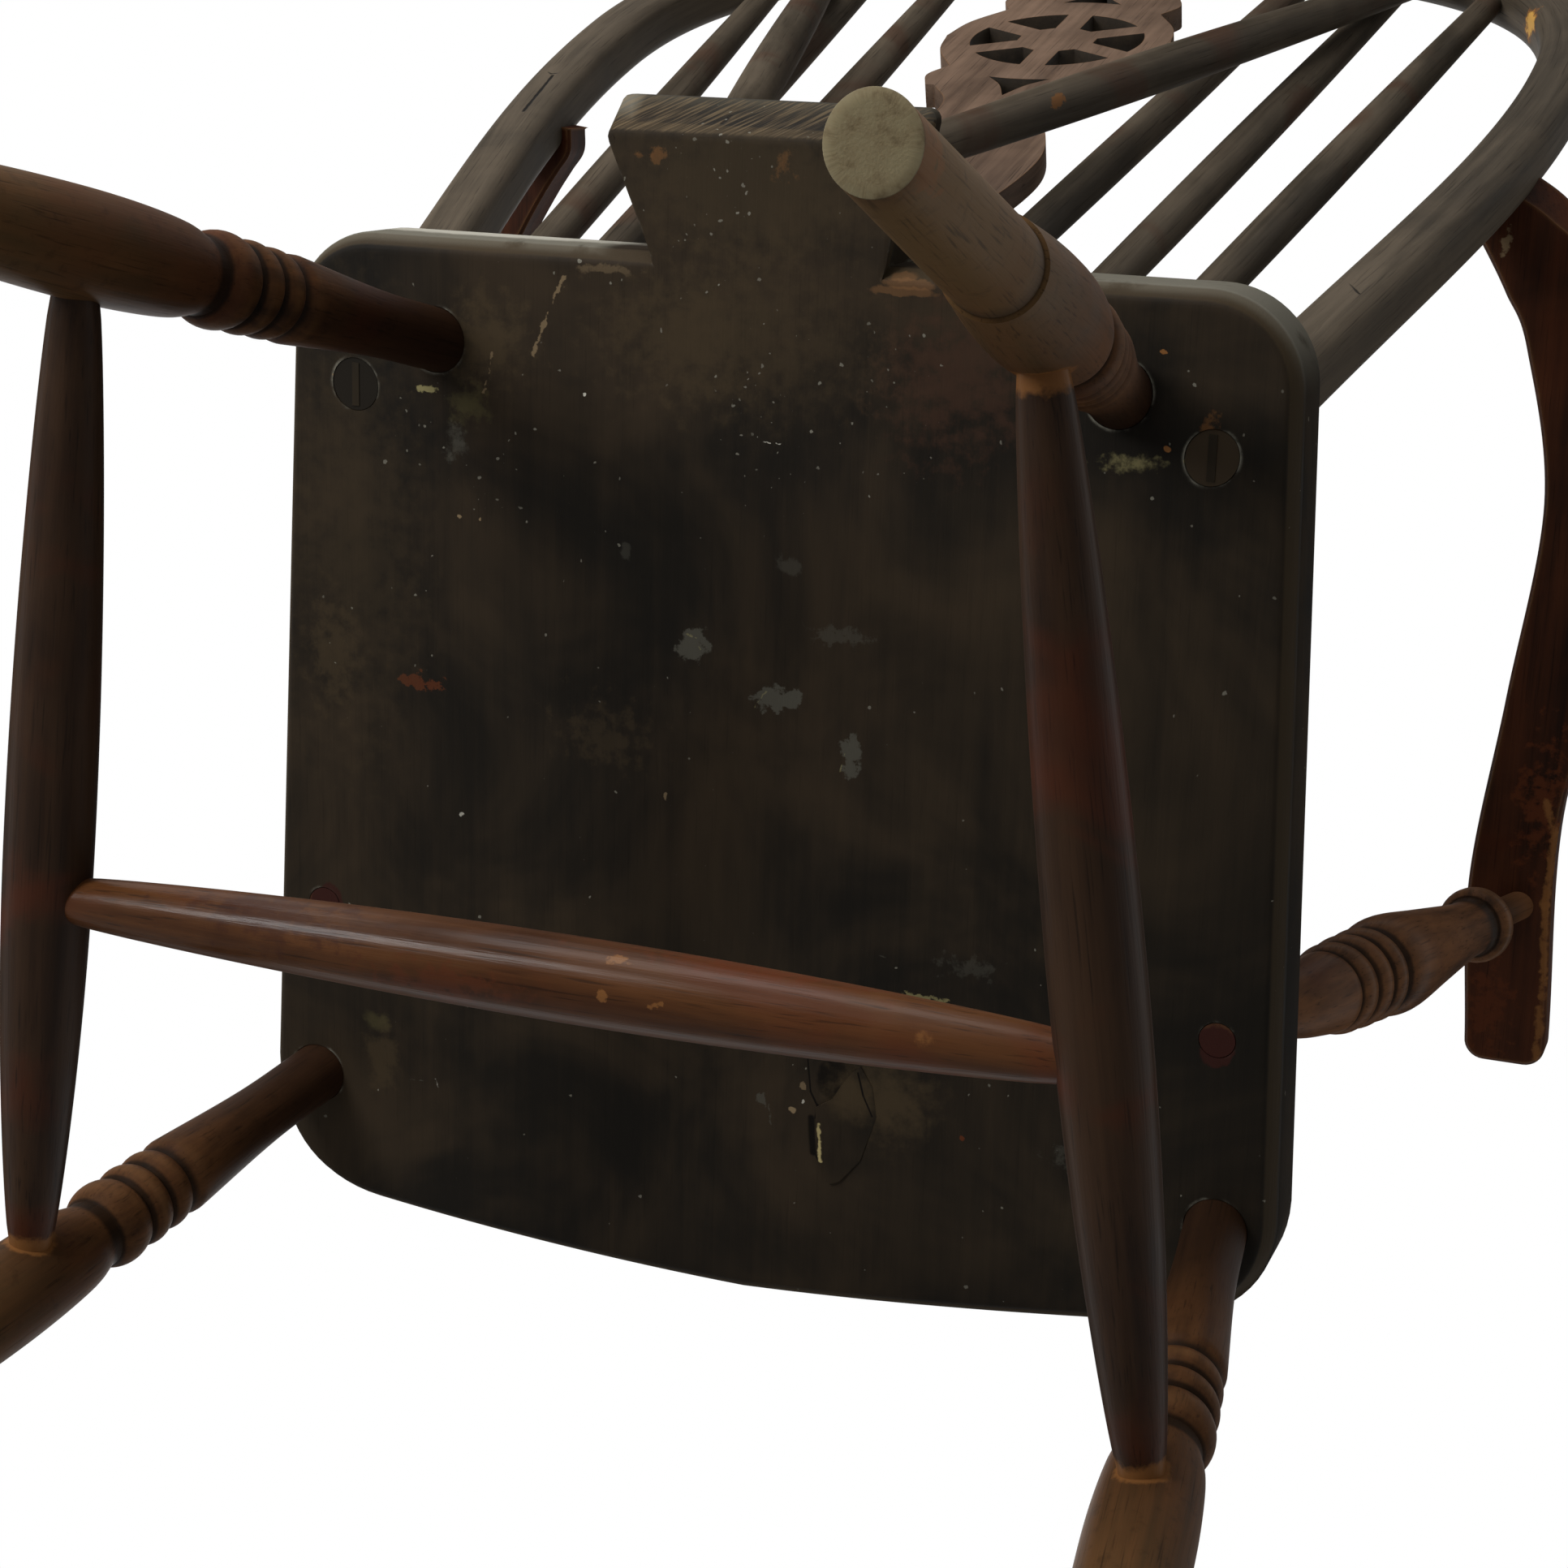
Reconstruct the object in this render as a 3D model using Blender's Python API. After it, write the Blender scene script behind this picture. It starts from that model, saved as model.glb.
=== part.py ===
"""Wheel-back Windsor armchair with a bow back, a braced tail seat and an H stretcher.

Metres, +Z up, sitter facing -Y, the sitter's left on +X. The chair stands on z = 0 with the middle of
its bounding box over the origin. Heights called a rise are measured from the underside of the seat.
"""
import math

import bmesh
import bpy
from mathutils import Matrix, Vector
from mathutils.geometry import interpolate_bezier

# Clearance between two pieces that touch, and how far a cutter runs past the face that it opens
FIT_GAP = 0.0003
CUT_PAST = 0.006

# Facets round a turned piece, and steps along its curves
LEG_SIDES = 14
POST_SIDES = 14
STRETCHER_SIDES = 14
STICK_SIDES = 12
CURVE_STEPS = 2
BEAD_STEPS = 4
BEAD_FULLNESS = 0.6

# Share of a rounding's radius that its middle facet takes off
ROUND_MIDDLE = 1.0 - math.cos(math.radians(45.0))
SHARP_ANGLE = math.radians(40.0)
LEAST_MITRE = 0.5

# Seat board; its front edge is cut back towards the right end
SEAT_HEIGHT = 0.453
SEAT_THICKNESS = 0.034
SEAT_FRONT_Y = -0.216
SEAT_FRONT_CURVE = 0.009
SEAT_FRONT_SKEW = 0.010
SEAT_FRONT_STEPS = 5
SEAT_CORNER_WIDTH = 0.0475
SEAT_CORNER_LENGTH = 0.066
SEAT_CORNER_FULLNESS = 0.6
SEAT_CORNER_STEPS = 6
SEAT_HALF_WIDTH = 0.2125
SEAT_REAR_TAPER = 0.0135
SEAT_REAR_Y = 0.192
SEAT_REAR_RADIUS = 0.036
SEAT_CHAMFER_IN = 0.005
SEAT_CHAMFER_RISE = 0.007
SEAT_RIM_ROUND = 0.002

# Shallow bowl in the top of the seat
DISH_DEPTH = 0.007
DISH_FROM_SIDE = 0.0625
DISH_HALF_LENGTH = 0.132
DISH_Y = -0.030
DISH_FLARE = 1.06
DISH_STEPS = 5
DISH_SIDES = 36

# Tail behind the seat, sawn a little out of square
TAIL_BASE_HALF = 0.045
TAIL_END_HALF = 0.063
TAIL_LENGTH = 0.055
TAIL_SKEW = 0.008
TAIL_CORNER = 0.005
TAIL_BEVEL_IN = 0.012
TAIL_EDGE = 0.008

# Legs: sockets under the seat, and splay as run per unit of drop
REAR_LEG_FROM_SIDE = 0.0781
REAR_LEG_FROM_REAR = 0.0385
REAR_SPLAY_OUT_SHARE = 0.130
REAR_SPLAY_BACK_SHARE = 0.241
FRONT_LEG_FROM_SIDE = 0.022
FRONT_LEG_FROM_FRONT = 0.0625
FRONT_SPLAY_OUT_SHARE = 0.113
FRONT_SPLAY_FORWARD_SHARE = 0.142
LEG_SOCKET_SHARE = 0.47

# Leg turning from the seat down: lengths of its stretches and radii at their ends
LEG_TENON_RADIUS = 0.0120
LEG_NECK_LENGTH = 0.041
LEG_NECK_RADIUS = 0.0124
LEG_SHOULDER_LENGTH = 0.051
LEG_SHOULDER_RADIUS = 0.0159
LEG_LIP_LENGTH = 0.0035
LEG_LIP_RADIUS = 0.0155
LEG_GROOVE_LENGTH = 0.0035
LEG_GROOVE_RADIUS = 0.0136
LEG_BEADS = ((0.012, 0.0161), (0.012, 0.0165), (0.017, 0.0170))
LEG_VALLEY_LENGTH = 0.003
LEG_SWELL_LENGTH = 0.014
LEG_SWELL_RADIUS = 0.0167
LEG_BULB_LENGTH = 0.033
LEG_BULB_RADIUS = 0.0182
LEG_CALF_LENGTH = 0.0445
LEG_CALF_RADIUS = 0.0172
LEG_ANKLE_LENGTH = 0.0445
LEG_ANKLE_RADIUS = 0.0146
LEG_STEP = 0.0013
LEG_STEP_LENGTH = 0.020
LEG_FOOT_RADIUS = 0.0109
LEG_FOOT_CHAMFER = 0.0014

# Stretchers: drop of their axes below the seat, and where the cross stretcher meets the side ones
REAR_STRETCHER_DROP = 0.1925
FRONT_STRETCHER_DROP = 0.1731
CROSS_STRETCHER_FROM_FRONT = 0.154
SIDE_TENON_RADIUS = 0.0076
SIDE_BELLY_RADIUS = 0.0153
CROSS_TENON_RADIUS = 0.0082
CROSS_BELLY_RADIUS = 0.0143
CROSS_BELLY_SHARE = 0.52
SIDE_TENON_STOP = 0.005
CROSS_TENON_STOP = 0.003
STRETCHER_FULLNESS = 0.75
STRETCHER_STEPS = 12

# Bow: a hoop in one raked plane, drawn by two curves from the foot to the widest place to the crown
BOW_FOOT_FROM_SIDE = 0.0434
BOW_FOOT_FROM_REAR = 0.0582
BOW_RAKE = 0.336
BOW_FLARE = 0.179
BOW_SPREAD = 0.0636
BOW_WIDEST_RISE = 0.3757
BOW_CROWN_RISE = 0.1703
BOW_FOOT_FULLNESS = 0.397
BOW_SIDE_FULLNESS = 0.317
BOW_SHOULDER_FULLNESS = 0.646
BOW_CROWN_FULLNESS = 0.653
BOW_THICKNESS = 0.0256
BOW_EDGE_RADIUS = 0.0077
BOW_TENON_RADIUS = 0.0095
BOW_STEPS = 13
BOW_FINE_STEPS = 80

# Wedges in the bow's tenons
WEDGE_THICKNESS = 0.0030
WEDGE_TIP_THICKNESS = 0.0012
WEDGE_WIDTH = 0.0165
WEDGE_SHARE = 0.59

# Spindles on each side of the splat, from the middle outwards: feet as shares of the bow's foot,
# heads as shares of its widest place
SPINDLE_NAMES = ("inner", "middle", "outer")
SPINDLE_FOOT_SHARES = (0.325, 0.580, 0.780)
SPINDLE_HEAD_SHARES = (0.400, 0.600, 0.800)
SPINDLE_ROW_FROM_REAR = 0.020
SPINDLE_ROW_SAG = 0.0141
SPINDLE_FOOT_RADIUS = 0.0074
SPINDLE_BELLY_RADIUS = 0.0083
SPINDLE_HEAD_RADIUS = 0.0063
SPINDLE_SOCKET_SHARE = 0.29
STICK_BELLY_SHARE = 0.42
STICK_FULLNESS = 1.0
STICK_STEPS = 8

# Distance short of the bow's middle line at which a stick or the splat stops, and length of a stick's
# straight head in bow thicknesses
BOW_SOCKET_STOP = 0.002
STICK_HEAD_SHARE = 1.2

# Braces from the tail to the bow, between the heads of the two outer spindles
BRACE_FOOT_X = 0.033
BRACE_FROM_TAIL_END = 0.020
BRACE_HEAD_BACK = 0.0052
BRACE_FOOT_RADIUS = 0.0073
BRACE_BELLY_RADIUS = 0.0092
BRACE_HEAD_RADIUS = 0.0065
BRACE_SOCKET_SHARE = 0.59

# Wheel splat: a template of half widths and of lengths from the seat up, drawn to size for this bow
SPLAT_FROM_REAR = 0.024
SPLAT_THICKNESS = 0.011
SPLAT_TENON_SHARE = 0.41
SPLAT_FOOT_HALF = 0.025
SPLAT_FOOT_RISE = 0.022
SPLAT_WAIST_HALF = 0.021
SPLAT_WAIST_RISE = 0.061
SPLAT_LOBE_HALF = 0.042
SPLAT_LOBE_RISE = 0.090
SPLAT_LOBE_SWELL = (0.57, 0.003, -0.012)
SPLAT_LOBE_TURN = (0.62, 0.005, 0.0)
SPLAT_NECK_HALF = 0.022
SPLAT_NECK_RISE = 0.059
SPLAT_HEAD_HALF = 0.034
SPLAT_HEAD_RISE = 0.0375
SPLAT_HEAD_HOLLOW = (0.5, -0.002, 0.0)
SPLAT_HEAD_SHARE = 1.4
STEM_STEPS = 4
FRET_STEPS = 3

# Wheel of the splat, measured from the middle of its hub
WHEEL_RISE = 0.113
WHEEL_HALF = 0.0545
WHEEL_RIM_SWELL = (0.5, 0.004, 0.0)
WHEEL_COVE = (0.5, -0.004, 0.0)
WHEEL_BUMP_HALF = 0.044
FRET_STEP = 0.004
FRET_STEP_DROP = 0.0755
FRET_NOTCH = 0.006
FRET_NOTCH_DROP = 0.0465
WHEEL_HOLE_COUNT = 6
WHEEL_HOLE_RADIUS = 0.041
WHEEL_HUB_RADIUS = 0.0185
WHEEL_SPOKE = 0.012
SPANDREL_DROP = 0.0605
SPANDREL_HALF = 0.0145
SPANDREL_HEIGHT = 0.026
SPANDREL_HOLLOW = 0.42

# Arms: a level board whose edges are drawn about the line from the bow to the arm's front end,
# as shares of that line and distances outwards from it; the outer edge is bevelled under near the bow
ARM_RISE = 0.268
ARM_THICKNESS = 0.021
ARM_TOP_ROUND = 0.005
ARM_UNDER_ROUND = 0.0015
ARM_INNER_EDGE = ((0.010, -0.0190), (0.038, -0.0197), (0.062, -0.0145), (0.091, -0.0082), (0.136, 0.0002),
                  (0.195, 0.0090), (0.361, 0.0166), (0.577, 0.0009), (0.787, -0.0151))
ARM_OUTER_EDGE = ((0.008, 0.0075), (0.043, 0.0248), (0.104, 0.0432), (0.283, 0.0650), (0.483, 0.0563),
                  (0.699, 0.0257))
ARM_BEVEL_IN = 0.010
ARM_BEVEL_RISE = 0.012
ARM_BEVEL_SHARE = 0.40
ARM_PAST_POST = 0.0742
ARM_FRONT_HALF = 0.0178
ARM_FRONT_RADIUS = 0.009
ARM_FRONT_STEPS = 4
ARM_NECK = (0.110, 0.0140)
ARM_EDGE_STEPS = 4

# Arm posts: foot under the seat, lean up to the underside of the arm, and turning from the seat up
POST_FOOT_FROM_SIDE = 0.0265
POST_FOOT_FROM_FRONT = 0.137
POST_LEAN_OUT = 0.0749
POST_LEAN_FORWARD = 0.0140
POST_TENON_RADIUS = 0.0065
POST_ARM_SOCKET_SHARE = 0.70
POST_ABOVE_SEAT = 0.002
POST_NECK_LENGTH = 0.0247
POST_NECK_RADIUS = 0.0129
POST_SHAFT_LENGTH = 0.0247
POST_SHAFT_RADIUS = 0.0165
POST_GROOVE_LENGTH = 0.002
POST_GROOVE_RADIUS = 0.0157
POST_RINGS = ((0.013, 0.0183), (0.013, 0.0190), (0.013, 0.0193))
POST_SHOULDER_LENGTH = 0.0065
POST_SHOULDER_RADIUS = 0.0196
POST_VASE_LENGTH = 0.013
POST_VASE_RADIUS = 0.0204
POST_TAPER_SHARE = 0.42
POST_TAPER_RADIUS = 0.0169
POST_WAIST_RADIUS = 0.0122
POST_FLARE_LENGTH = 0.0108
POST_FLARE_RADIUS = 0.0129
POST_COLLAR_FROM_ARM = 0.0509
POST_COLLAR_RADIUS = 0.0164
POST_COLLAR_LENGTH = 0.0097
POST_CHAMFER = 0.001
POST_THROAT_RADIUS = 0.0081
POST_THROAT_LENGTH = 0.0065

# Dowels between the arms and the bow
DOWEL_RADIUS = 0.005
DOWEL_INTO_ARM = 0.022
DOWEL_PAST_BOW_MIDDLE = 0.003

# Finishes, as base colour and roughness
SEAT_FINISH = ((0.040, 0.030, 0.021), 0.55)
LEG_FINISH = ((0.075, 0.034, 0.018), 0.38)
STRETCHER_FINISH = ((0.105, 0.045, 0.020), 0.33)
BACK_FINISH = ((0.085, 0.056, 0.042), 0.45)
ARM_FINISH = ((0.090, 0.038, 0.019), 0.40)
INNER_FINISH = ((0.210, 0.120, 0.060), 0.70)

# Levels and places that follow from the sizes above
SEAT_UNDER = SEAT_HEIGHT - SEAT_THICKNESS
SEAT_FRONT_HALF = SEAT_HALF_WIDTH - SEAT_CORNER_WIDTH
SEAT_CORNER_Y = SEAT_FRONT_Y + SEAT_CORNER_LENGTH
TAIL_END_Y = SEAT_REAR_Y + TAIL_LENGTH
LEG_SOCKET_DEPTH = SEAT_THICKNESS * LEG_SOCKET_SHARE
SPINDLE_SOCKET_DEPTH = SEAT_THICKNESS * SPINDLE_SOCKET_SHARE
BRACE_SOCKET_DEPTH = SEAT_THICKNESS * BRACE_SOCKET_SHARE
SPLAT_TENON = SEAT_THICKNESS * SPLAT_TENON_SHARE
WEDGE_LENGTH = SEAT_THICKNESS * WEDGE_SHARE
BOW_FOOT_X = SEAT_HALF_WIDTH - BOW_FOOT_FROM_SIDE
BOW_FOOT_Y = SEAT_REAR_Y - BOW_FOOT_FROM_REAR
BOW_WIDEST_HALF = BOW_FOOT_X + BOW_SPREAD
BOW_RISE = BOW_WIDEST_RISE + BOW_CROWN_RISE
ARM_UNDER = SEAT_UNDER + ARM_RISE
POST_ARM_SOCKET_DEPTH = ARM_THICKNESS * POST_ARM_SOCKET_SHARE
UP = Vector((0.0, 0.0, 1.0))
SIDES = (("left", 1), ("right", -1))


def clear_scene():
    for item in list(bpy.data.objects):
        bpy.data.objects.remove(item, do_unlink=True)


def add_frame():
    """The empty that carries every piece."""
    frame = bpy.data.objects.new("chair_frame", None)
    bpy.context.collection.objects.link(frame)
    return frame


def finish_material(name, finish):
    colour, roughness = finish
    material = bpy.data.materials.new(name)
    material.use_nodes = True
    shader = material.node_tree.nodes["Principled BSDF"]
    shader.inputs["Base Color"].default_value = (*colour, 1.0)
    shader.inputs["Roughness"].default_value = roughness
    shader.inputs["Metallic"].default_value = 0.0
    return material


def add_piece(name, bm, frame, finish):
    """A node of the chair from a closed bmesh, smooth except at its arrises."""
    bmesh.ops.recalc_face_normals(bm, faces=bm.faces)
    mesh = bpy.data.meshes.new(name)
    bm.to_mesh(mesh)
    bm.free()
    mesh.shade_smooth()
    mesh.set_sharp_from_angle(angle=SHARP_ANGLE)
    mesh.materials.append(finish_material(name, finish))
    piece = bpy.data.objects.new(name, mesh)
    bpy.context.collection.objects.link(piece)
    piece.parent = frame
    return piece


def cut(piece, bm):
    """Take every closed volume of a bmesh out of a piece."""
    bmesh.ops.recalc_face_normals(bm, faces=bm.faces)
    mesh = bpy.data.meshes.new(piece.name + "_cutter")
    bm.to_mesh(mesh)
    bm.free()
    cutter = bpy.data.objects.new(mesh.name, mesh)
    bpy.context.collection.objects.link(cutter)
    cutter.parent = piece.parent
    cutter.hide_render = True
    cutter.display_type = "WIRE"
    modifier = piece.modifiers.new("sockets", "BOOLEAN")
    modifier.operation = "DIFFERENCE"
    modifier.solver = "EXACT"
    modifier.object = cutter


def loft(bm, rings):
    """Skin closed rings of equal count and cap both ends."""
    loops = [[bm.verts.new(point) for point in ring] for ring in rings]
    for lower, upper in zip(loops, loops[1:]):
        for i in range(len(lower)):
            j = (i + 1) % len(lower)
            bm.faces.new((lower[i], lower[j], upper[j], upper[i]))
    bm.faces.new(loops[0])
    bm.faces.new(loops[-1])


def circle(radius, sides):
    turn = 2.0 * math.pi / sides
    return [Vector((radius * math.cos(i * turn), radius * math.sin(i * turn), 0.0)) for i in range(sides)]


def rod(bm, start, end, radius, sides):
    """A plain cylinder between two points, faceted like a turned piece on the same axis."""
    turn = UP.rotation_difference(end - start)
    offsets = [turn @ point for point in circle(radius, sides)]
    loft(bm, [[start + offset for offset in offsets], [end + offset for offset in offsets]])


def prism(bm, outline, lower, upper):
    """A straight prism on a flat outline of (x, y) points between two heights."""
    loft(bm, [[Vector((x, y, z)) for x, y in outline] for z in (lower, upper)])


def smooth_curve(points, steps):
    """Points of a Catmull-Rom curve through the given ones, ends included."""
    knots = [Vector(point) for point in points]
    knots = [2 * knots[0] - knots[1]] + knots + [2 * knots[-1] - knots[-2]]
    curve = []
    for before, start, end, after in zip(knots, knots[1:], knots[2:], knots[3:]):
        first = start + (end - before) / 6.0
        second = end - (after - start) / 6.0
        curve += interpolate_bezier(start, first, second, end, steps + 1)[:-1]
    return [Vector(point[:len(points[0])]) for point in curve] + [Vector(points[-1])]


def arc(centre, radius, start, end, steps):
    """Points of an arc in the plane, angles in degrees."""
    angles = [math.radians(start + (end - start) * i / steps) for i in range(steps + 1)]
    return [Vector((centre[0] + radius * math.cos(a), centre[1] + radius * math.sin(a))) for a in angles]


def inset(outline, distances):
    """Move each point of a counterclockwise outline inwards by its own distance."""
    moved = []
    for i, point in enumerate(outline):
        before = (point - outline[i - 1]).normalized()
        after = (outline[(i + 1) % len(outline)] - point).normalized()
        inward = Vector((-before.y - after.y, before.x + after.x)).normalized()
        corner = max(LEAST_MITRE, inward.dot(Vector((-after.y, after.x))))
        moved.append(point + inward * (distances[i] / corner))
    return moved


def level_cut(start, turn, cuts, sides):
    """Rings of a turned piece that lie level, each a (height, radius), for an end sawn flat."""
    rings = []
    for height, radius in cuts:
        ring = []
        for point in circle(radius, sides):
            rise = height - (start + turn @ point).z
            ring.append(point + UP * (rise / (turn @ UP).z))
        rings.append(ring)
    return rings


def turned(name, frame, start, axis, profile, sides, finish, first_cuts=(), last_cuts=()):
    """A turned piece: a profile of (distance, radius) along an axis, with ends that may be sawn level."""
    turn = UP.rotation_difference(axis)
    rings = level_cut(start, turn, first_cuts, sides)
    rings += [[point + UP * along for point in circle(radius, sides)] for along, radius in profile]
    rings += level_cut(start, turn, last_cuts, sides)
    bm = bmesh.new()
    loft(bm, rings)
    piece = add_piece(name, bm, frame, finish)
    piece.location = start
    piece.rotation_mode = "QUATERNION"
    piece.rotation_quaternion = turn
    return piece


def beads(start, runs, valley):
    """Rounded rings side by side, each a (length, crest radius), as points of a turned profile."""
    points = []
    for length, crest in runs:
        for i in range(1, BEAD_STEPS):
            height = math.sin(math.pi * i / BEAD_STEPS) ** BEAD_FULLNESS
            points.append((start + length * i / BEAD_STEPS, valley + (crest - valley) * height))
        start += length
        points.append((start, valley))
    return points


def stretches(start, radius, runs):
    """Turned stretches joined by one smooth curve, each a (length, radius at its end)."""
    knots = [(start, radius)]
    for length, end_radius in runs:
        start += length
        knots.append((start, end_radius))
    return [tuple(point) for point in smooth_curve(knots, CURVE_STEPS)]


def swelling(start, end, radii, belly_share, fullness, steps):
    """A long turned swelling: radii at its start, belly and end, with the belly at a share of its length."""
    low, belly, high = radii
    points = []
    for i in range(steps + 1):
        share = i / steps
        if share < belly_share:
            rise = math.sin(0.5 * math.pi * share / belly_share) ** fullness
            radius = low + (belly - low) * rise
        else:
            rise = math.sin(0.5 * math.pi * (1.0 - share) / (1.0 - belly_share)) ** fullness
            radius = high + (belly - high) * rise
        points.append((start + (end - start) * share, radius))
    return points


def seat_outline():
    """The seat's rim seen from above, counterclockwise, and for the tail's points those of the underside."""
    front = []
    for i in range(SEAT_FRONT_STEPS + 1):
        share = i / SEAT_FRONT_STEPS
        front.append(Vector((SEAT_FRONT_HALF * share, SEAT_FRONT_Y + SEAT_FRONT_CURVE * share ** 2)))
    start = front[-1]
    end = Vector((SEAT_HALF_WIDTH, SEAT_CORNER_Y))
    slope = 2.0 * SEAT_FRONT_CURVE / SEAT_FRONT_HALF
    reach = SEAT_CORNER_FULLNESS * (end.x - start.x)
    first = start + Vector((reach, reach * slope))
    second = end - Vector((0.0, SEAT_CORNER_FULLNESS * (end.y - start.y)))
    corner = interpolate_bezier(start, first, second, end, SEAT_CORNER_STEPS + 1)[1:]
    rear_half = SEAT_HALF_WIDTH - SEAT_REAR_TAPER
    centre = (rear_half - SEAT_REAR_RADIUS, SEAT_REAR_Y - SEAT_REAR_RADIUS)
    rear = arc(centre, SEAT_REAR_RADIUS, 0.0, 90.0, SEAT_CORNER_STEPS)
    base = Vector((TAIL_BASE_HALF, SEAT_REAR_Y))
    tip = Vector((TAIL_END_HALF, TAIL_END_Y))
    along_flank = (base - tip) * (TAIL_BEVEL_IN / TAIL_LENGTH)
    half = [(point, None) for point in front + [point.to_2d() for point in corner] + rear]
    half.append((base, base - Vector((0.0, SEAT_CHAMFER_IN))))
    for point in (tip - Vector((TAIL_CORNER * ROUND_MIDDLE, TAIL_CORNER)), tip - Vector((TAIL_CORNER, 0.0))):
        half.append((point, point + along_flank))
    rim = half + [(mirrored(point), mirrored(under)) for point, under in reversed(half[1:])]
    return [skewed(point) for point, under in rim], [skewed(under) for point, under in rim]


def mirrored(point):
    return point and Vector((-point.x, point.y))


def skewed(point):
    return point and point + seat_skew(point)


def seat_skew(point):
    """How far the maker's saw went off the symmetrical outline at a point of it."""
    tail_share = max(0.0, point.y - SEAT_REAR_Y) / TAIL_LENGTH
    front_share = max(0.0, SEAT_CORNER_Y - point.y) / SEAT_CORNER_LENGTH
    right_share = max(0.0, -point.x) / SEAT_FRONT_HALF
    return Vector((TAIL_SKEW * tail_share, SEAT_FRONT_SKEW * front_share * right_share))


def level(outline, heights):
    return [Vector((point.x, point.y, z)) for point, z in zip(outline, heights)]


def dish(bm):
    """The shallow bowl that is worked out of the seat's top."""
    half_width = SEAT_HALF_WIDTH - DISH_FROM_SIDE
    rings = []
    for step in range(DISH_STEPS):
        share = DISH_FLARE * (1.0 - step / DISH_STEPS)
        height = SEAT_HEIGHT - DISH_DEPTH * (1.0 - share ** 2)
        ring = circle(share, DISH_SIDES)
        rings.append([Vector((half_width * p.x, DISH_Y + DISH_HALF_LENGTH * p.y, height)) for p in ring])
    lid = [point + UP * CUT_PAST for point in rings[0]]
    loft(bm, [lid] + rings)


def leg_line(end, side):
    """Centre of a leg at the underside of the seat, and its direction down."""
    if end == "rear":
        x = SEAT_HALF_WIDTH - REAR_LEG_FROM_SIDE
        y = SEAT_REAR_Y - REAR_LEG_FROM_REAR
        return Vector((side * x, y, SEAT_UNDER)), Vector((side * REAR_SPLAY_OUT_SHARE, REAR_SPLAY_BACK_SHARE, -1.0))
    x = SEAT_HALF_WIDTH - FRONT_LEG_FROM_SIDE
    y = SEAT_FRONT_Y + FRONT_LEG_FROM_FRONT
    return Vector((side * x, y, SEAT_UNDER)), Vector((side * FRONT_SPLAY_OUT_SHARE, -FRONT_SPLAY_FORWARD_SHARE, -1.0))


def stretcher_line(side):
    """The two points on the legs' axes that a side stretcher joins, rear first."""
    rear, rear_down = leg_line("rear", side)
    front, front_down = leg_line("front", side)
    return rear + rear_down * REAR_STRETCHER_DROP, front + front_down * FRONT_STRETCHER_DROP


def cross_point(side):
    rear, front = stretcher_line(side)
    return front + (rear - front).normalized() * CROSS_STRETCHER_FROM_FRONT


def leg_profile():
    """The leg's turning: tenon, neck, beads, bulb and ankle, as (distance from the seat, radius)."""
    tenon = [(FIT_GAP - LEG_SOCKET_DEPTH, LEG_TENON_RADIUS)]
    neck = stretches(0.0, LEG_TENON_RADIUS, ((LEG_NECK_LENGTH, LEG_NECK_RADIUS),
                                             (LEG_SHOULDER_LENGTH, LEG_SHOULDER_RADIUS)))
    lip = neck[-1][0] + LEG_LIP_LENGTH
    groove = lip + LEG_GROOVE_LENGTH
    rings = beads(groove, LEG_BEADS, LEG_GROOVE_RADIUS)
    valley = rings[-1][0] + LEG_VALLEY_LENGTH
    bulb = stretches(valley, LEG_GROOVE_RADIUS, ((LEG_SWELL_LENGTH, LEG_SWELL_RADIUS),
                                                 (LEG_BULB_LENGTH, LEG_BULB_RADIUS),
                                                 (LEG_CALF_LENGTH, LEG_CALF_RADIUS),
                                                 (LEG_ANKLE_LENGTH, LEG_ANKLE_RADIUS)))
    step = bulb[-1][0] + LEG_STEP
    shin_radius = LEG_ANKLE_RADIUS - LEG_STEP
    shin = [(step, shin_radius), (step + LEG_STEP_LENGTH, shin_radius)]
    return tenon + neck + [(lip, LEG_LIP_RADIUS), (groove, LEG_GROOVE_RADIUS)] + rings + bulb[1:] + shin


def add_legs(frame):
    foot = ((LEG_FOOT_CHAMFER, LEG_FOOT_RADIUS), (0.0, LEG_FOOT_RADIUS - LEG_FOOT_CHAMFER))
    for name, side in SIDES:
        rear, front = stretcher_line(side)
        for end, near, far in (("front", front, rear), ("rear", rear, front)):
            start, down = leg_line(end, side)
            leg = turned(f"leg_{end}_{name}", frame, start, down, leg_profile(), LEG_SIDES, LEG_FINISH,
                         last_cuts=foot)
            toward = (far - near).normalized()
            inner = near + toward * (SIDE_TENON_STOP - FIT_GAP)
            outer = near + toward * (LEG_BULB_RADIUS + CUT_PAST)
            socket = bmesh.new()
            rod(socket, inner, outer, SIDE_TENON_RADIUS + FIT_GAP, STRETCHER_SIDES)
            cut(leg, socket)


def stretcher_profile(length, stop, cover, tenon, belly, belly_share):
    """A cigar: straight tenons inside what covers its ends and a long swelling between them."""
    run = length - 2.0 * stop
    radii = (tenon, belly, tenon)
    body = swelling(cover, run - cover, radii, belly_share, STRETCHER_FULLNESS, STRETCHER_STEPS)
    return [(0.0, tenon)] + body + [(run, tenon)]


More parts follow.
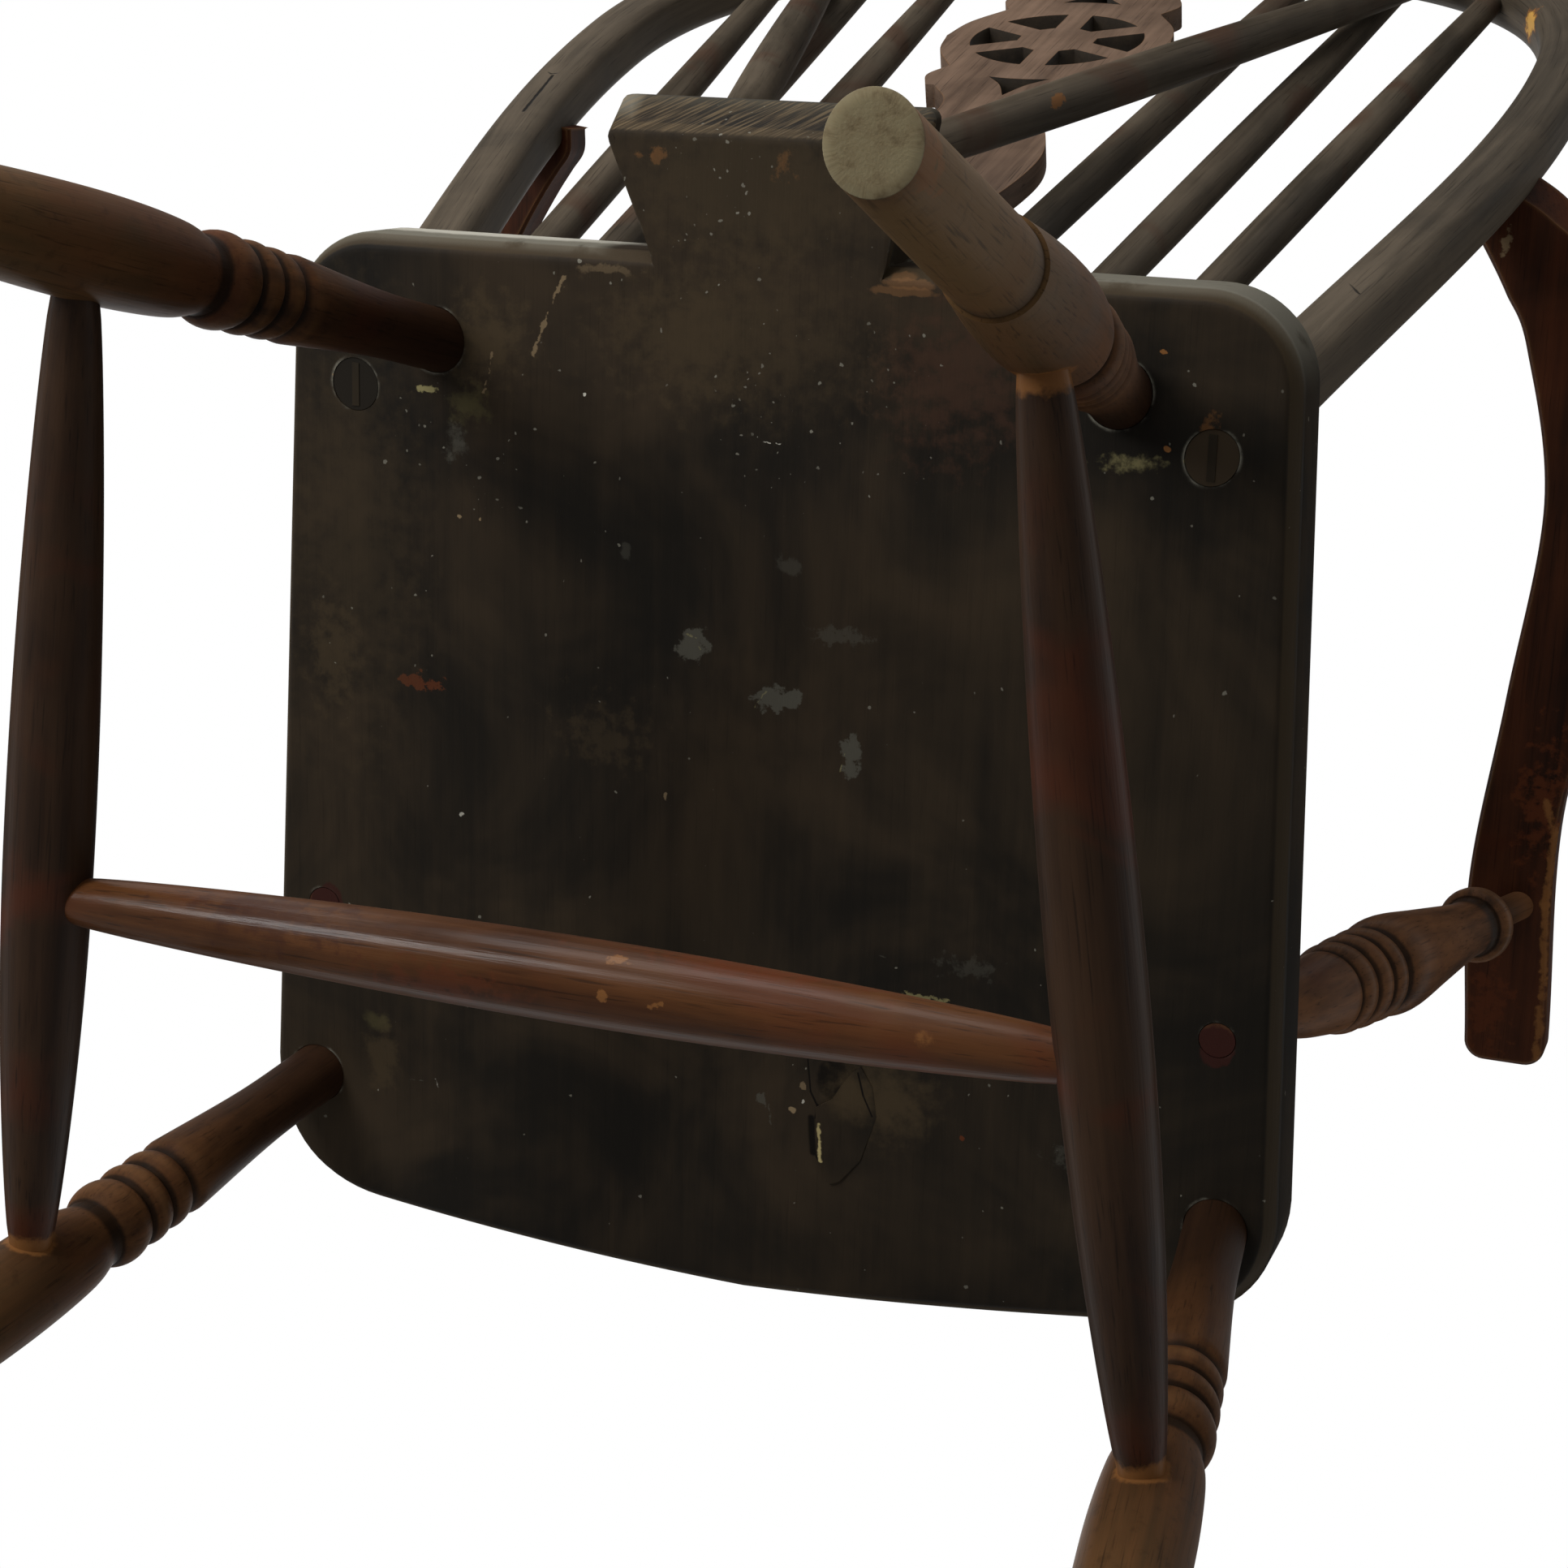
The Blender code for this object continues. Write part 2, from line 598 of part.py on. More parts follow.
def add_side_stretchers(frame):
    for name, side in SIDES:
        rear, front = stretcher_line(side)
        along = (front - rear).normalized()
        length = (front - rear).length
        profile = stretcher_profile(length, SIDE_TENON_STOP, LEG_BULB_RADIUS, SIDE_TENON_RADIUS,
                                    SIDE_BELLY_RADIUS, 1.0 - CROSS_STRETCHER_FROM_FRONT / length)
        stretcher = turned(f"side_stretcher_{name}", frame, rear + along * SIDE_TENON_STOP, along, profile,
                           STRETCHER_SIDES, STRETCHER_FINISH)
        middle = cross_point(side)
        inward = (cross_point(-side) - middle).normalized()
        inner = middle + inward * (CROSS_TENON_STOP - FIT_GAP)
        outer = middle + inward * (SIDE_BELLY_RADIUS + CUT_PAST)
        socket = bmesh.new()
        rod(socket, inner, outer, CROSS_TENON_RADIUS + FIT_GAP, STRETCHER_SIDES)
        cut(stretcher, socket)


def add_cross_stretcher(frame):
    left, right = cross_point(1), cross_point(-1)
    along = (right - left).normalized()
    length = (right - left).length
    profile = stretcher_profile(length, CROSS_TENON_STOP, SIDE_BELLY_RADIUS, CROSS_TENON_RADIUS,
                                CROSS_BELLY_RADIUS, CROSS_BELLY_SHARE)
    turned("cross_stretcher", frame, left + along * CROSS_TENON_STOP, along, profile, STRETCHER_SIDES,
           STRETCHER_FINISH)


def bow_point(half_width, rise):
    return Vector((half_width, BOW_FOOT_Y + BOW_RAKE * rise, SEAT_UNDER + rise))


def bow_curves(steps):
    """Half of the bow's middle line as (half width, rise): foot to widest place, then on to the crown."""
    foot = Vector((BOW_FOOT_X, 0.0))
    lean = Vector((BOW_FLARE, 1.0)).normalized()
    widest = Vector((BOW_WIDEST_HALF, BOW_WIDEST_RISE))
    crown = Vector((0.0, BOW_RISE))
    leave_foot = foot + lean * (BOW_FOOT_FULLNESS * BOW_WIDEST_RISE)
    reach_widest = widest - Vector((0.0, BOW_SIDE_FULLNESS * BOW_WIDEST_RISE))
    leave_widest = widest + Vector((0.0, BOW_SHOULDER_FULLNESS * BOW_CROWN_RISE))
    reach_crown = crown + Vector((BOW_CROWN_FULLNESS * BOW_WIDEST_HALF, 0.0))
    lower = interpolate_bezier(foot, leave_foot, reach_widest, widest, steps)
    upper = interpolate_bezier(widest, leave_widest, reach_crown, crown, steps)
    return [point.to_2d() for point in lower], [point.to_2d() for point in upper]


def bow_middle_at(x):
    """The point of the bow's middle line over a given x, on the part above its widest place."""
    upper = bow_curves(BOW_FINE_STEPS)[1]
    for outer, inner in zip(upper, upper[1:]):
        if inner.x <= abs(x) <= outer.x:
            share = (outer.x - abs(x)) / (outer.x - inner.x)
            return bow_point(x, outer.y + share * (inner.y - outer.y))
    return bow_point(x, BOW_RISE)


def bow_side_at(rise, side):
    """The point of the bow's middle line at a given rise, below its widest place."""
    lower = bow_curves(BOW_FINE_STEPS)[0]
    for below, above in zip(lower, lower[1:]):
        if below.y <= rise <= above.y:
            share = (rise - below.y) / (above.y - below.y)
            return bow_point(side * (below.x + share * (above.x - below.x)), rise)
    return bow_point(side * BOW_WIDEST_HALF, rise)


def bow_normal():
    """Direction square to the plane of the bow, towards the rear."""
    return Vector((0.0, 1.0, -BOW_RAKE)).normalized()


def bow_foot_direction(side):
    return Vector((side * BOW_FLARE, BOW_RAKE, 1.0)).normalized()


def bow_section(grow=0.0):
    """Rounded square section as offsets in the bow's plane and square to it."""
    half = 0.5 * BOW_THICKNESS - BOW_EDGE_RADIUS
    points = []
    for quarter, (a, b) in enumerate(((half, half), (-half, half), (-half, -half), (half, -half))):
        points += arc((a, b), BOW_EDGE_RADIUS + grow, 90.0 * quarter, 90.0 * quarter + 90.0, 2)
    return points


def bow_ring(point, along, section):
    normal = bow_normal()
    across = normal.cross(along).normalized()
    return [point + across * a + normal * b for a, b in section]


def level_ring(ring, along, height):
    """Slide each point of a ring along a direction to a height."""
    return [point + along * ((height - point.z) / along.z) for point in ring]


def bow_tenon_ring(side, grow, height):
    """A level slice of the round tenon at one foot of the bow."""
    along = bow_foot_direction(side)
    angles = [math.atan2(b, a) for a, b in bow_section()]
    radius = BOW_TENON_RADIUS + grow
    section = [(radius * math.cos(angle), radius * math.sin(angle)) for angle in angles]
    return level_ring(bow_ring(bow_point(side * BOW_FOOT_X, 0.0), along, section), along, height)


def bow_path():
    lower, upper = bow_curves(BOW_STEPS)
    half = lower + upper[1:]
    left = [bow_point(point.x, point.y) for point in half]
    right = [bow_point(-point.x, point.y) for point in reversed(half[:-1])]
    return left + right


def bow_rings(section, lowest):
    """Rings square to the bow's middle line at every point above a rise."""
    path = bow_path()
    rings = []
    for before, point, after in zip(path, path[1:], path[2:]):
        if point.z > SEAT_UNDER + lowest:
            rings.append(bow_ring(point, (after - before).normalized(), section))
    return rings


def wedge_ring(side, thickness, width, height):
    """A level slice of a wedge, long along Y, about the middle of a bow tenon."""
    corners = ((-0.5, -0.5), (0.5, -0.5), (0.5, 0.5), (-0.5, 0.5))
    middle = bow_point(side * BOW_FOOT_X, 0.0)
    ring = [middle + Vector((a * thickness, b * width, 0.0)) for a, b in corners]
    return level_ring(ring, bow_foot_direction(side), height)


def add_bow(frame):
    shoulder = SEAT_HEIGHT + FIT_GAP
    rings = bow_rings(bow_section(), SEAT_THICKNESS + BOW_THICKNESS)
    along = bow_foot_direction(1)
    full = level_ring(bow_ring(bow_point(BOW_FOOT_X, 0.0), along, bow_section()), along, shoulder)
    left_foot = [bow_tenon_ring(1, 0.0, SEAT_UNDER), bow_tenon_ring(1, 0.0, shoulder), full]
    right_foot = [mirror_ring(ring) for ring in reversed(left_foot)]
    bm = bmesh.new()
    loft(bm, left_foot + rings + right_foot)
    bow = add_piece("bow", bm, frame, BACK_FINISH)
    sockets = bmesh.new()
    for foot, head, radius in stick_heads():
        toward = (foot - head).normalized()
        inner = head + toward * (BOW_SOCKET_STOP - FIT_GAP)
        outer = head + toward * (BOW_THICKNESS + CUT_PAST)
        rod(sockets, inner, outer, radius + FIT_GAP, STICK_SIDES)
    splat_slot(sockets, splat_top() - BOW_THICKNESS, splat_top() + FIT_GAP, SPLAT_HEAD_HALF)
    kerf = WEDGE_THICKNESS + 2.0 * FIT_GAP
    kerf_width = 2.0 * BOW_TENON_RADIUS + CUT_PAST
    kerf_heights = (SEAT_UNDER - CUT_PAST, SEAT_UNDER + WEDGE_LENGTH + FIT_GAP)
    for name, side in SIDES:
        start, end = dowel_line(side)
        rod(sockets, start - (end - start).normalized() * FIT_GAP, end, DOWEL_RADIUS + FIT_GAP, STICK_SIDES)
        loft(sockets, [wedge_ring(side, kerf, kerf_width, height) for height in kerf_heights])
    cut(bow, sockets)


def mirror_ring(ring):
    """The same ring on the other side of the chair, in the order that the swept section has there."""
    return [Vector((-point.x, point.y, point.z)) for point in ring]


def add_wedges(frame):
    for name, side in SIDES:
        bm = bmesh.new()
        tip = SEAT_UNDER + WEDGE_LENGTH
        loft(bm, [wedge_ring(side, WEDGE_THICKNESS, WEDGE_WIDTH, SEAT_UNDER),
                  wedge_ring(side, WEDGE_TIP_THICKNESS, WEDGE_WIDTH, tip)])
        add_piece(f"bow_wedge_{name}", bm, frame, INNER_FINISH)


def spindle_line(number, side):
    """Foot of a spindle at the seat's top and its head on the bow's middle line."""
    share = SPINDLE_FOOT_SHARES[number]
    sag = SPINDLE_ROW_SAG * (share / SPINDLE_FOOT_SHARES[-1]) ** 2
    foot = Vector((side * share * BOW_FOOT_X, SEAT_REAR_Y - SPINDLE_ROW_FROM_REAR - sag, SEAT_HEIGHT))
    return foot, bow_middle_at(side * SPINDLE_HEAD_SHARES[number] * BOW_WIDEST_HALF)


def brace_line(side):
    """Foot of a brace at the tail's top and its head, a little behind the bow's middle line."""
    foot = Vector((side * BRACE_FOOT_X, TAIL_END_Y - BRACE_FROM_TAIL_END, SEAT_HEIGHT))
    head_share = 0.5 * (SPINDLE_HEAD_SHARES[-1] + SPINDLE_HEAD_SHARES[-2])
    return foot, bow_middle_at(side * head_share * BOW_WIDEST_HALF) + bow_normal() * BRACE_HEAD_BACK


def stick_heads():
    """Every spindle and brace as (foot, head, head radius)."""
    sticks = []
    for name, side in SIDES:
        for number in range(len(SPINDLE_NAMES)):
            sticks.append((*spindle_line(number, side), SPINDLE_HEAD_RADIUS))
        sticks.append((*brace_line(side), BRACE_HEAD_RADIUS))
    return sticks


def add_stick(name, frame, foot, head, depth, radii):
    """A long tapered stick from a blind socket in the seat to a blind socket in the bow."""
    along = (head - foot).normalized()
    sunk = depth - FIT_GAP
    length = (head - foot).length - BOW_SOCKET_STOP + sunk
    neck = length - STICK_HEAD_SHARE * BOW_THICKNESS
    body = swelling(sunk, neck, radii, STICK_BELLY_SHARE, STICK_FULLNESS, STICK_STEPS)
    profile = [(0.0, radii[0])] + body + [(length, radii[-1])]
    turned(name, frame, foot - along * sunk, along, profile, STICK_SIDES, BACK_FINISH)


def add_sticks(frame):
    for side_name, side in SIDES:
        for number, place in enumerate(SPINDLE_NAMES):
            foot, head = spindle_line(number, side)
            radii = (SPINDLE_FOOT_RADIUS, SPINDLE_BELLY_RADIUS, SPINDLE_HEAD_RADIUS)
            add_stick(f"spindle_{side_name}_{place}", frame, foot, head, SPINDLE_SOCKET_DEPTH, radii)
        foot, head = brace_line(side)
        radii = (BRACE_FOOT_RADIUS, BRACE_BELLY_RADIUS, BRACE_HEAD_RADIUS)
        add_stick(f"brace_{side_name}", frame, foot, head, BRACE_SOCKET_DEPTH, radii)


def splat_foot():
    return Vector((0.0, SEAT_REAR_Y - SPLAT_FROM_REAR, SEAT_HEIGHT))


def splat_matrix():
    """Places the splat: x across, y up the board from the seat, z towards the rear."""
    foot = splat_foot()
    upward = (bow_middle_at(0.0) - foot).normalized()
    across = Vector((1.0, 0.0, 0.0))
    matrix = Matrix((across, upward, across.cross(upward))).transposed().to_4x4()
    matrix.translation = foot
    return matrix


def splat_top():
    """Length of the splat up the board from the seat."""
    return (bow_middle_at(0.0) - splat_foot()).length - BOW_SOCKET_STOP


def wheel_rise():
    """Height of the wheel's hub on the template."""
    return SPLAT_FOOT_RISE + SPLAT_WAIST_RISE + SPLAT_LOBE_RISE + SPLAT_NECK_RISE + WHEEL_RISE


def splat_scale():
    """How much the template is enlarged to reach from the seat to the bow."""
    drawn = wheel_rise() + WHEEL_RISE + SPLAT_HEAD_RISE
    return (splat_top() - SPLAT_HEAD_SHARE * BOW_THICKNESS) / drawn


def between(start, end, place):
    """A point at a share of the way between two others, moved aside by an offset."""
    share, across, up = place
    return start.lerp(end, share) + Vector((across, up))


def board(bm, outline, thickness):
    """A flat board on an outline drawn in the splat's plane."""
    matrix = splat_matrix()
    first = len(bm.verts)
    prism(bm, outline, -thickness / 2, thickness / 2)
    bm.verts.ensure_lookup_table()
    bmesh.ops.transform(bm, matrix=matrix, verts=bm.verts[first:])


def splat_slot(bm, low, high, template_half):
    """The straight slot that takes one end of the splat."""
    wide = template_half * splat_scale() + FIT_GAP
    outline = [(-wide, low), (wide, low), (wide, high), (-wide, high)]
    board(bm, outline, SPLAT_THICKNESS + 2.0 * FIT_GAP)


def splat_template():
    """Right half of the fretted outline between the seat and the bow, as (half width, height)."""
    hub = wheel_rise()
    foot = Vector((SPLAT_FOOT_HALF, SPLAT_FOOT_RISE))
    waist = Vector((SPLAT_WAIST_HALF, foot.y + SPLAT_WAIST_RISE))
    lobe = Vector((SPLAT_LOBE_HALF, waist.y + SPLAT_LOBE_RISE))
    neck = Vector((SPLAT_NECK_HALF, lobe.y + SPLAT_NECK_RISE))
    step = Vector((WHEEL_BUMP_HALF - FRET_STEP, hub - FRET_STEP_DROP))
    notch = Vector((WHEEL_BUMP_HALF - FRET_NOTCH, hub - FRET_NOTCH_DROP))
    bump = Vector((WHEEL_BUMP_HALF, 0.5 * (step.y + notch.y)))
    wheel = Vector((WHEEL_HALF, hub))
    cove_end = step - Vector((FRET_STEP, 0.0))
    swell = between(waist, lobe, SPLAT_LOBE_SWELL)
    turn = between(lobe, neck, SPLAT_LOBE_TURN)
    stem = smooth_curve((foot, waist, swell, lobe, turn, neck), STEM_STEPS)
    cove = smooth_curve((neck, between(neck, step, WHEEL_COVE), cove_end), FRET_STEPS)[1:]
    shoulder = smooth_curve((step, bump, notch), FRET_STEPS)
    rim = smooth_curve((notch, between(notch, wheel, WHEEL_RIM_SWELL), wheel), FRET_STEPS)[1:]
    below = cove + shoulder + rim
    above = [Vector((point.x, 2.0 * hub - point.y)) for point in reversed(below[:-1])]
    upper_neck = Vector((SPLAT_NECK_HALF, hub + WHEEL_RISE))
    head = Vector((SPLAT_HEAD_HALF, upper_neck.y + SPLAT_HEAD_RISE))
    neck_to_head = smooth_curve((upper_neck, between(upper_neck, head, SPLAT_HEAD_HOLLOW), head), FRET_STEPS)
    return stem + below + above + neck_to_head


def splat_edge():
    """Right half of the whole splat, with its tenon in the seat and its head in the bow."""
    scale = splat_scale()
    tenon = Vector((SPLAT_FOOT_HALF * scale, FIT_GAP - SPLAT_TENON))
    head = Vector((SPLAT_HEAD_HALF * scale, splat_top()))
    return [tenon] + [point * scale for point in splat_template()] + [head]


def wheel_hole(number):
    """One opening of the wheel between two spokes, with a flat toward the hub."""
    middle = 2.0 * math.pi * number / WHEEL_HOLE_COUNT
    half_turn = math.pi / WHEEL_HOLE_COUNT
    reach = math.degrees(half_turn - math.asin(0.5 * WHEEL_SPOKE / WHEEL_HOLE_RADIUS))
    rim = arc((0.0, 0.0), WHEEL_HOLE_RADIUS, -reach, reach, 2 * FRET_STEPS)
    flat = WHEEL_HUB_RADIUS * math.tan(half_turn) - 0.5 * WHEEL_SPOKE / math.cos(half_turn)
    points = rim + [Vector((WHEEL_HUB_RADIUS, flat)), Vector((WHEEL_HUB_RADIUS, -flat))]
    turn = Matrix.Rotation(middle, 2)
    return [(turn @ point) + Vector((0.0, wheel_rise())) for point in points]


def spandrel(up):
    """The three-sided opening under the wheel, or over it, with hollow sides."""
    reach = math.degrees(math.atan2(SPANDREL_HALF, SPANDREL_DROP))
    top = arc((0.0, 0.0), math.hypot(SPANDREL_DROP, SPANDREL_HALF), 90.0 - reach, 90.0 + reach, FRET_STEPS)
    hollow = (-SPANDREL_HOLLOW * SPANDREL_HALF, SPANDREL_DROP + SPANDREL_HOLLOW * SPANDREL_HEIGHT)
    tip = (0.0, SPANDREL_DROP + SPANDREL_HEIGHT)
    left = smooth_curve(((-SPANDREL_HALF, SPANDREL_DROP), hollow, tip), FRET_STEPS)
    right = [Vector((-point.x, point.y)) for point in reversed(left[:-1])]
    points = top[1:-1] + left + right
    return [Vector((point.x, wheel_rise() + up * point.y)) for point in points]


def add_splat(frame):
    edge = splat_edge()
    outline = edge + [Vector((-point.x, point.y)) for point in reversed(edge)]
    bm = bmesh.new()
    board(bm, outline, SPLAT_THICKNESS)
    splat = add_piece("splat", bm, frame, BACK_FINISH)
    holes = [wheel_hole(number) for number in range(WHEEL_HOLE_COUNT)] + [spandrel(-1.0), spandrel(1.0)]
    openings = bmesh.new()
    for hole in holes:
        board(openings, [point * splat_scale() for point in hole], SPLAT_THICKNESS + 2.0 * CUT_PAST)
    cut(splat, openings)


def post_line(side):
    """Foot of an arm post at the seat's underside and its head at the underside of the arm."""
    x = SEAT_HALF_WIDTH - POST_FOOT_FROM_SIDE
    y = SEAT_FRONT_Y + POST_FOOT_FROM_FRONT
    foot = Vector((side * x, y, SEAT_UNDER))
    return foot, Vector((side * (x + POST_LEAN_OUT), y - POST_LEAN_FORWARD, ARM_UNDER))


def arm_line():
    """The line of the left arm seen from above, from the bow's middle to the middle of the front end."""
    start = bow_side_at(ARM_RISE + 0.5 * ARM_THICKNESS, 1).to_2d()
    end = post_line(1)[1].to_2d() - Vector((0.0, ARM_PAST_POST))
    return start, end


def arm_place(share, offset):
    """A point of the left arm seen from above, by its share of the arm's line and its distance outwards."""
    start, end = arm_line()
    along = (end - start).normalized()
    return start.lerp(end, share) + Vector((-along.y, along.x)) * offset


def arm_edge(places, corner):
    """One long edge of the left arm, from the bow to the start of a front corner."""
    return smooth_curve([arm_place(*place) for place in places] + [corner], ARM_EDGE_STEPS)


def arm_bevel(point):
    """How far the underside of the left arm is cut back at a point of its outer edge."""
    start, end = arm_line()
    share = (point - start).dot(end - start) / (end - start).length_squared
    return ARM_BEVEL_IN * max(0.0, 1.0 - share / ARM_BEVEL_SHARE)


def arm_outline(side):
    """The arm seen from above, counterclockwise, its end inside the bow, with the bevel at each point."""
    front = arm_line()[1]
    radius = ARM_FRONT_RADIUS
    inner_middle = front + Vector((radius - ARM_FRONT_HALF, radius))
    outer_middle = front + Vector((ARM_FRONT_HALF - radius, radius))
    front_inner = arc(inner_middle, radius, 180.0, 270.0, ARM_FRONT_STEPS)
    front_outer = arc(outer_middle, radius, 270.0, 360.0, ARM_FRONT_STEPS)
    inner = arm_edge(ARM_INNER_EDGE, front_inner[0])
    outer = arm_edge(ARM_OUTER_EDGE, front_outer[-1])
    points = inner + front_inner[1:] + front_outer[:-1] + outer[::-1]
    bevels = [0.0] * (len(points) - len(outer)) + [arm_bevel(point) for point in reversed(outer)]
    if side < 0:
        return [Vector((-point.x, point.y)) for point in reversed(points)], bevels[::-1]
    return points, bevels


def dowel_line(side):
    """The dowel of one arm, from inside the bow into the arm's end."""
    middle = bow_side_at(ARM_RISE + 0.5 * ARM_THICKNESS, side)
    neck = (arm_place(*ARM_NECK) - arm_line()[0]).normalized()
    toward = Vector((side * neck.x, neck.y, 0.0))
    length = 0.5 * BOW_THICKNESS + DOWEL_INTO_ARM
    return middle - toward * DOWEL_PAST_BOW_MIDDLE, middle + toward * length


def arm_board(side):
    """The arm as a closed board with a rounded top and eased lower edges, square at the bow."""
    outline, bevels = arm_outline(side)
    count = len(outline)
    top = ARM_UNDER + ARM_THICKNESS
    eased = [ARM_UNDER + ARM_UNDER_ROUND + (ARM_BEVEL_RISE - ARM_UNDER_ROUND) * bevel / ARM_BEVEL_IN
             for bevel in bevels]
    under = [0.0] + [max(ARM_UNDER_ROUND, bevel) for bevel in bevels[1:-1]] + [0.0]
    rings = [level(inset(outline, under), [ARM_UNDER] * count), level(outline, eased)]
    for distance, height in ((0.0, top - ARM_TOP_ROUND),
                             (ARM_TOP_ROUND * ROUND_MIDDLE, top - ARM_TOP_ROUND * ROUND_MIDDLE),
                             (ARM_TOP_ROUND, top)):
        distances = [0.0] + [distance] * (count - 2) + [0.0]
        rings.append(level(inset(outline, distances), [height] * count))
    bm = bmesh.new()
    loft(bm, rings)
    return bm


def add_arms(frame):
    for name, side in SIDES:
        arm = add_piece(f"arm_{name}", arm_board(side), frame, ARM_FINISH)
        foot, head = post_line(side)
        along = (head - foot).normalized()
        start, end = dowel_line(side)
        into_arm = (end - start).normalized()
        fits = bmesh.new()
        rod(fits, head - along * CUT_PAST, head + along * POST_ARM_SOCKET_DEPTH, POST_TENON_RADIUS + FIT_GAP,
            POST_SIDES)
        rod(fits, start, end + into_arm * FIT_GAP, DOWEL_RADIUS + FIT_GAP, STICK_SIDES)
        cut(arm, fits)
        rings = [ring for ring in bow_rings(bow_section(FIT_GAP), 0.5 * ARM_RISE)
                 if ring[0].x * side > 0.0 and ring[0].z < SEAT_UNDER + BOW_WIDEST_RISE]
        cope = bmesh.new()
        loft(cope, rings)
        cut(arm, cope)


def add_dowels(frame):
    for name, side in SIDES:
        start, end = dowel_line(side)
        profile = [(0.0, DOWEL_RADIUS), ((end - start).length, DOWEL_RADIUS)]
        turned(f"arm_dowel_{name}", frame, start, end - start, profile, STICK_SIDES, INNER_FINISH)


def post_profile(length):
    """A vase-turned post measured from the seat's underside, with a long tenon at each end."""
    start = (SEAT_THICKNESS + POST_ABOVE_SEAT) * length / ARM_RISE
    shaft = stretches(start, POST_TENON_RADIUS, ((POST_NECK_LENGTH, POST_NECK_RADIUS),
                                                 (POST_SHAFT_LENGTH, POST_SHAFT_RADIUS)))
    groove = shaft[-1][0] + POST_GROOVE_LENGTH
    rings = beads(groove, POST_RINGS, POST_GROOVE_RADIUS)
    collar = length - POST_COLLAR_FROM_ARM
    taper = collar - POST_FLARE_LENGTH - rings[-1][0] - POST_SHOULDER_LENGTH - POST_VASE_LENGTH
    runs = ((POST_SHOULDER_LENGTH, POST_SHOULDER_RADIUS), (POST_VASE_LENGTH, POST_VASE_RADIUS),
            (POST_TAPER_SHARE * taper, POST_TAPER_RADIUS),
            ((1.0 - POST_TAPER_SHARE) * taper, POST_WAIST_RADIUS),
            (POST_FLARE_LENGTH - POST_CHAMFER, POST_FLARE_RADIUS))
    vase = stretches(rings[-1][0], POST_GROOVE_RADIUS, runs)
    throat = collar + POST_COLLAR_LENGTH
    neck = [(collar, POST_COLLAR_RADIUS - POST_CHAMFER), (collar + POST_CHAMFER, POST_COLLAR_RADIUS),
            (throat - POST_CHAMFER, POST_COLLAR_RADIUS - POST_CHAMFER), (throat, POST_THROAT_RADIUS),
            (throat + POST_THROAT_LENGTH, POST_TENON_RADIUS),
            (length + POST_ARM_SOCKET_DEPTH - FIT_GAP, POST_TENON_RADIUS)]
    return shaft + [(groove, POST_GROOVE_RADIUS)] + rings + vase[1:] + neck


def add_posts(frame):
    for name, side in SIDES:
        foot, head = post_line(side)
        profile = post_profile((head - foot).length)
        turned(f"arm_post_{name}", frame, foot, head - foot, profile, POST_SIDES, LEG_FINISH,
               first_cuts=((SEAT_UNDER, POST_TENON_RADIUS),))


def seat_board():
    """The seat's board with its chamfered underside, its bevelled tail and an eased rim."""
    outline, tail = seat_outline()
    count = len(outline)
    under = [of_tail or point for of_tail, point in zip(tail, inset(outline, [SEAT_CHAMFER_IN] * count))]
    rim = inset(outline, [SEAT_RIM_ROUND] * count)
    bevel = [SEAT_HEIGHT - TAIL_EDGE if point.y > SEAT_REAR_Y + TAIL_CORNER else SEAT_UNDER + SEAT_CHAMFER_RISE
             for point in outline]
    bm = bmesh.new()
    loft(bm, [level(under, [SEAT_UNDER] * count), level(outline, bevel),
              level(outline, [SEAT_HEIGHT - SEAT_RIM_ROUND] * count), level(rim, [SEAT_HEIGHT] * count)])
    return bm


def stick_sockets(bm):
    """Blind holes in the seat's top for the spindles and braces."""
    for name, side in SIDES:
        feet = [(*spindle_line(number, side), SPINDLE_SOCKET_DEPTH, SPINDLE_FOOT_RADIUS)
                for number in range(len(SPINDLE_NAMES))]
        feet.append((*brace_line(side), BRACE_SOCKET_DEPTH, BRACE_FOOT_RADIUS))
        for foot, head, depth, radius in feet:
            along = (head - foot).normalized()
            rod(bm, foot - along * depth, foot + along * CUT_PAST, radius + FIT_GAP, STICK_SIDES)


def under_sockets(bm):
    """Blind holes for the legs, and holes right through for the arm posts and the bow's feet."""
    for name, side in SIDES:
        for end in ("front", "rear"):
            start, down = leg_line(end, side)
            down.normalize()
            rod(bm, start - down * LEG_SOCKET_DEPTH, start + down * CUT_PAST, LEG_TENON_RADIUS + FIT_GAP,
                LEG_SIDES)
        foot, head = post_line(side)
        along = (head - foot).normalized()
        past = along * (SEAT_THICKNESS + 2.0 * CUT_PAST)
        rod(bm, foot - along * CUT_PAST, foot + past, POST_TENON_RADIUS + FIT_GAP, POST_SIDES)
        heights = (SEAT_UNDER - CUT_PAST, SEAT_HEIGHT + CUT_PAST)
        loft(bm, [bow_tenon_ring(side, FIT_GAP, height) for height in heights])


def add_seat(frame):
    seat = add_piece("seat", seat_board(), frame, SEAT_FINISH)
    sockets = bmesh.new()
    dish(sockets)
    stick_sockets(sockets)
    under_sockets(sockets)
    splat_slot(sockets, -SPLAT_TENON, 2.0 * CUT_PAST, SPLAT_FOOT_HALF)
    cut(seat, sockets)


def centre_over_origin(frame):
    """Shift the frame so that the middle of the chair's bounding box lies over the origin."""
    bpy.context.view_layer.update()
    points = []
    for piece in frame.children:
        if not piece.hide_render:
            points += [piece.matrix_world @ vertex.co for vertex in piece.data.vertices]
    for axis in (0, 1):
        places = [point[axis] for point in points]
        frame.location[axis] = -0.5 * (min(places) + max(places))


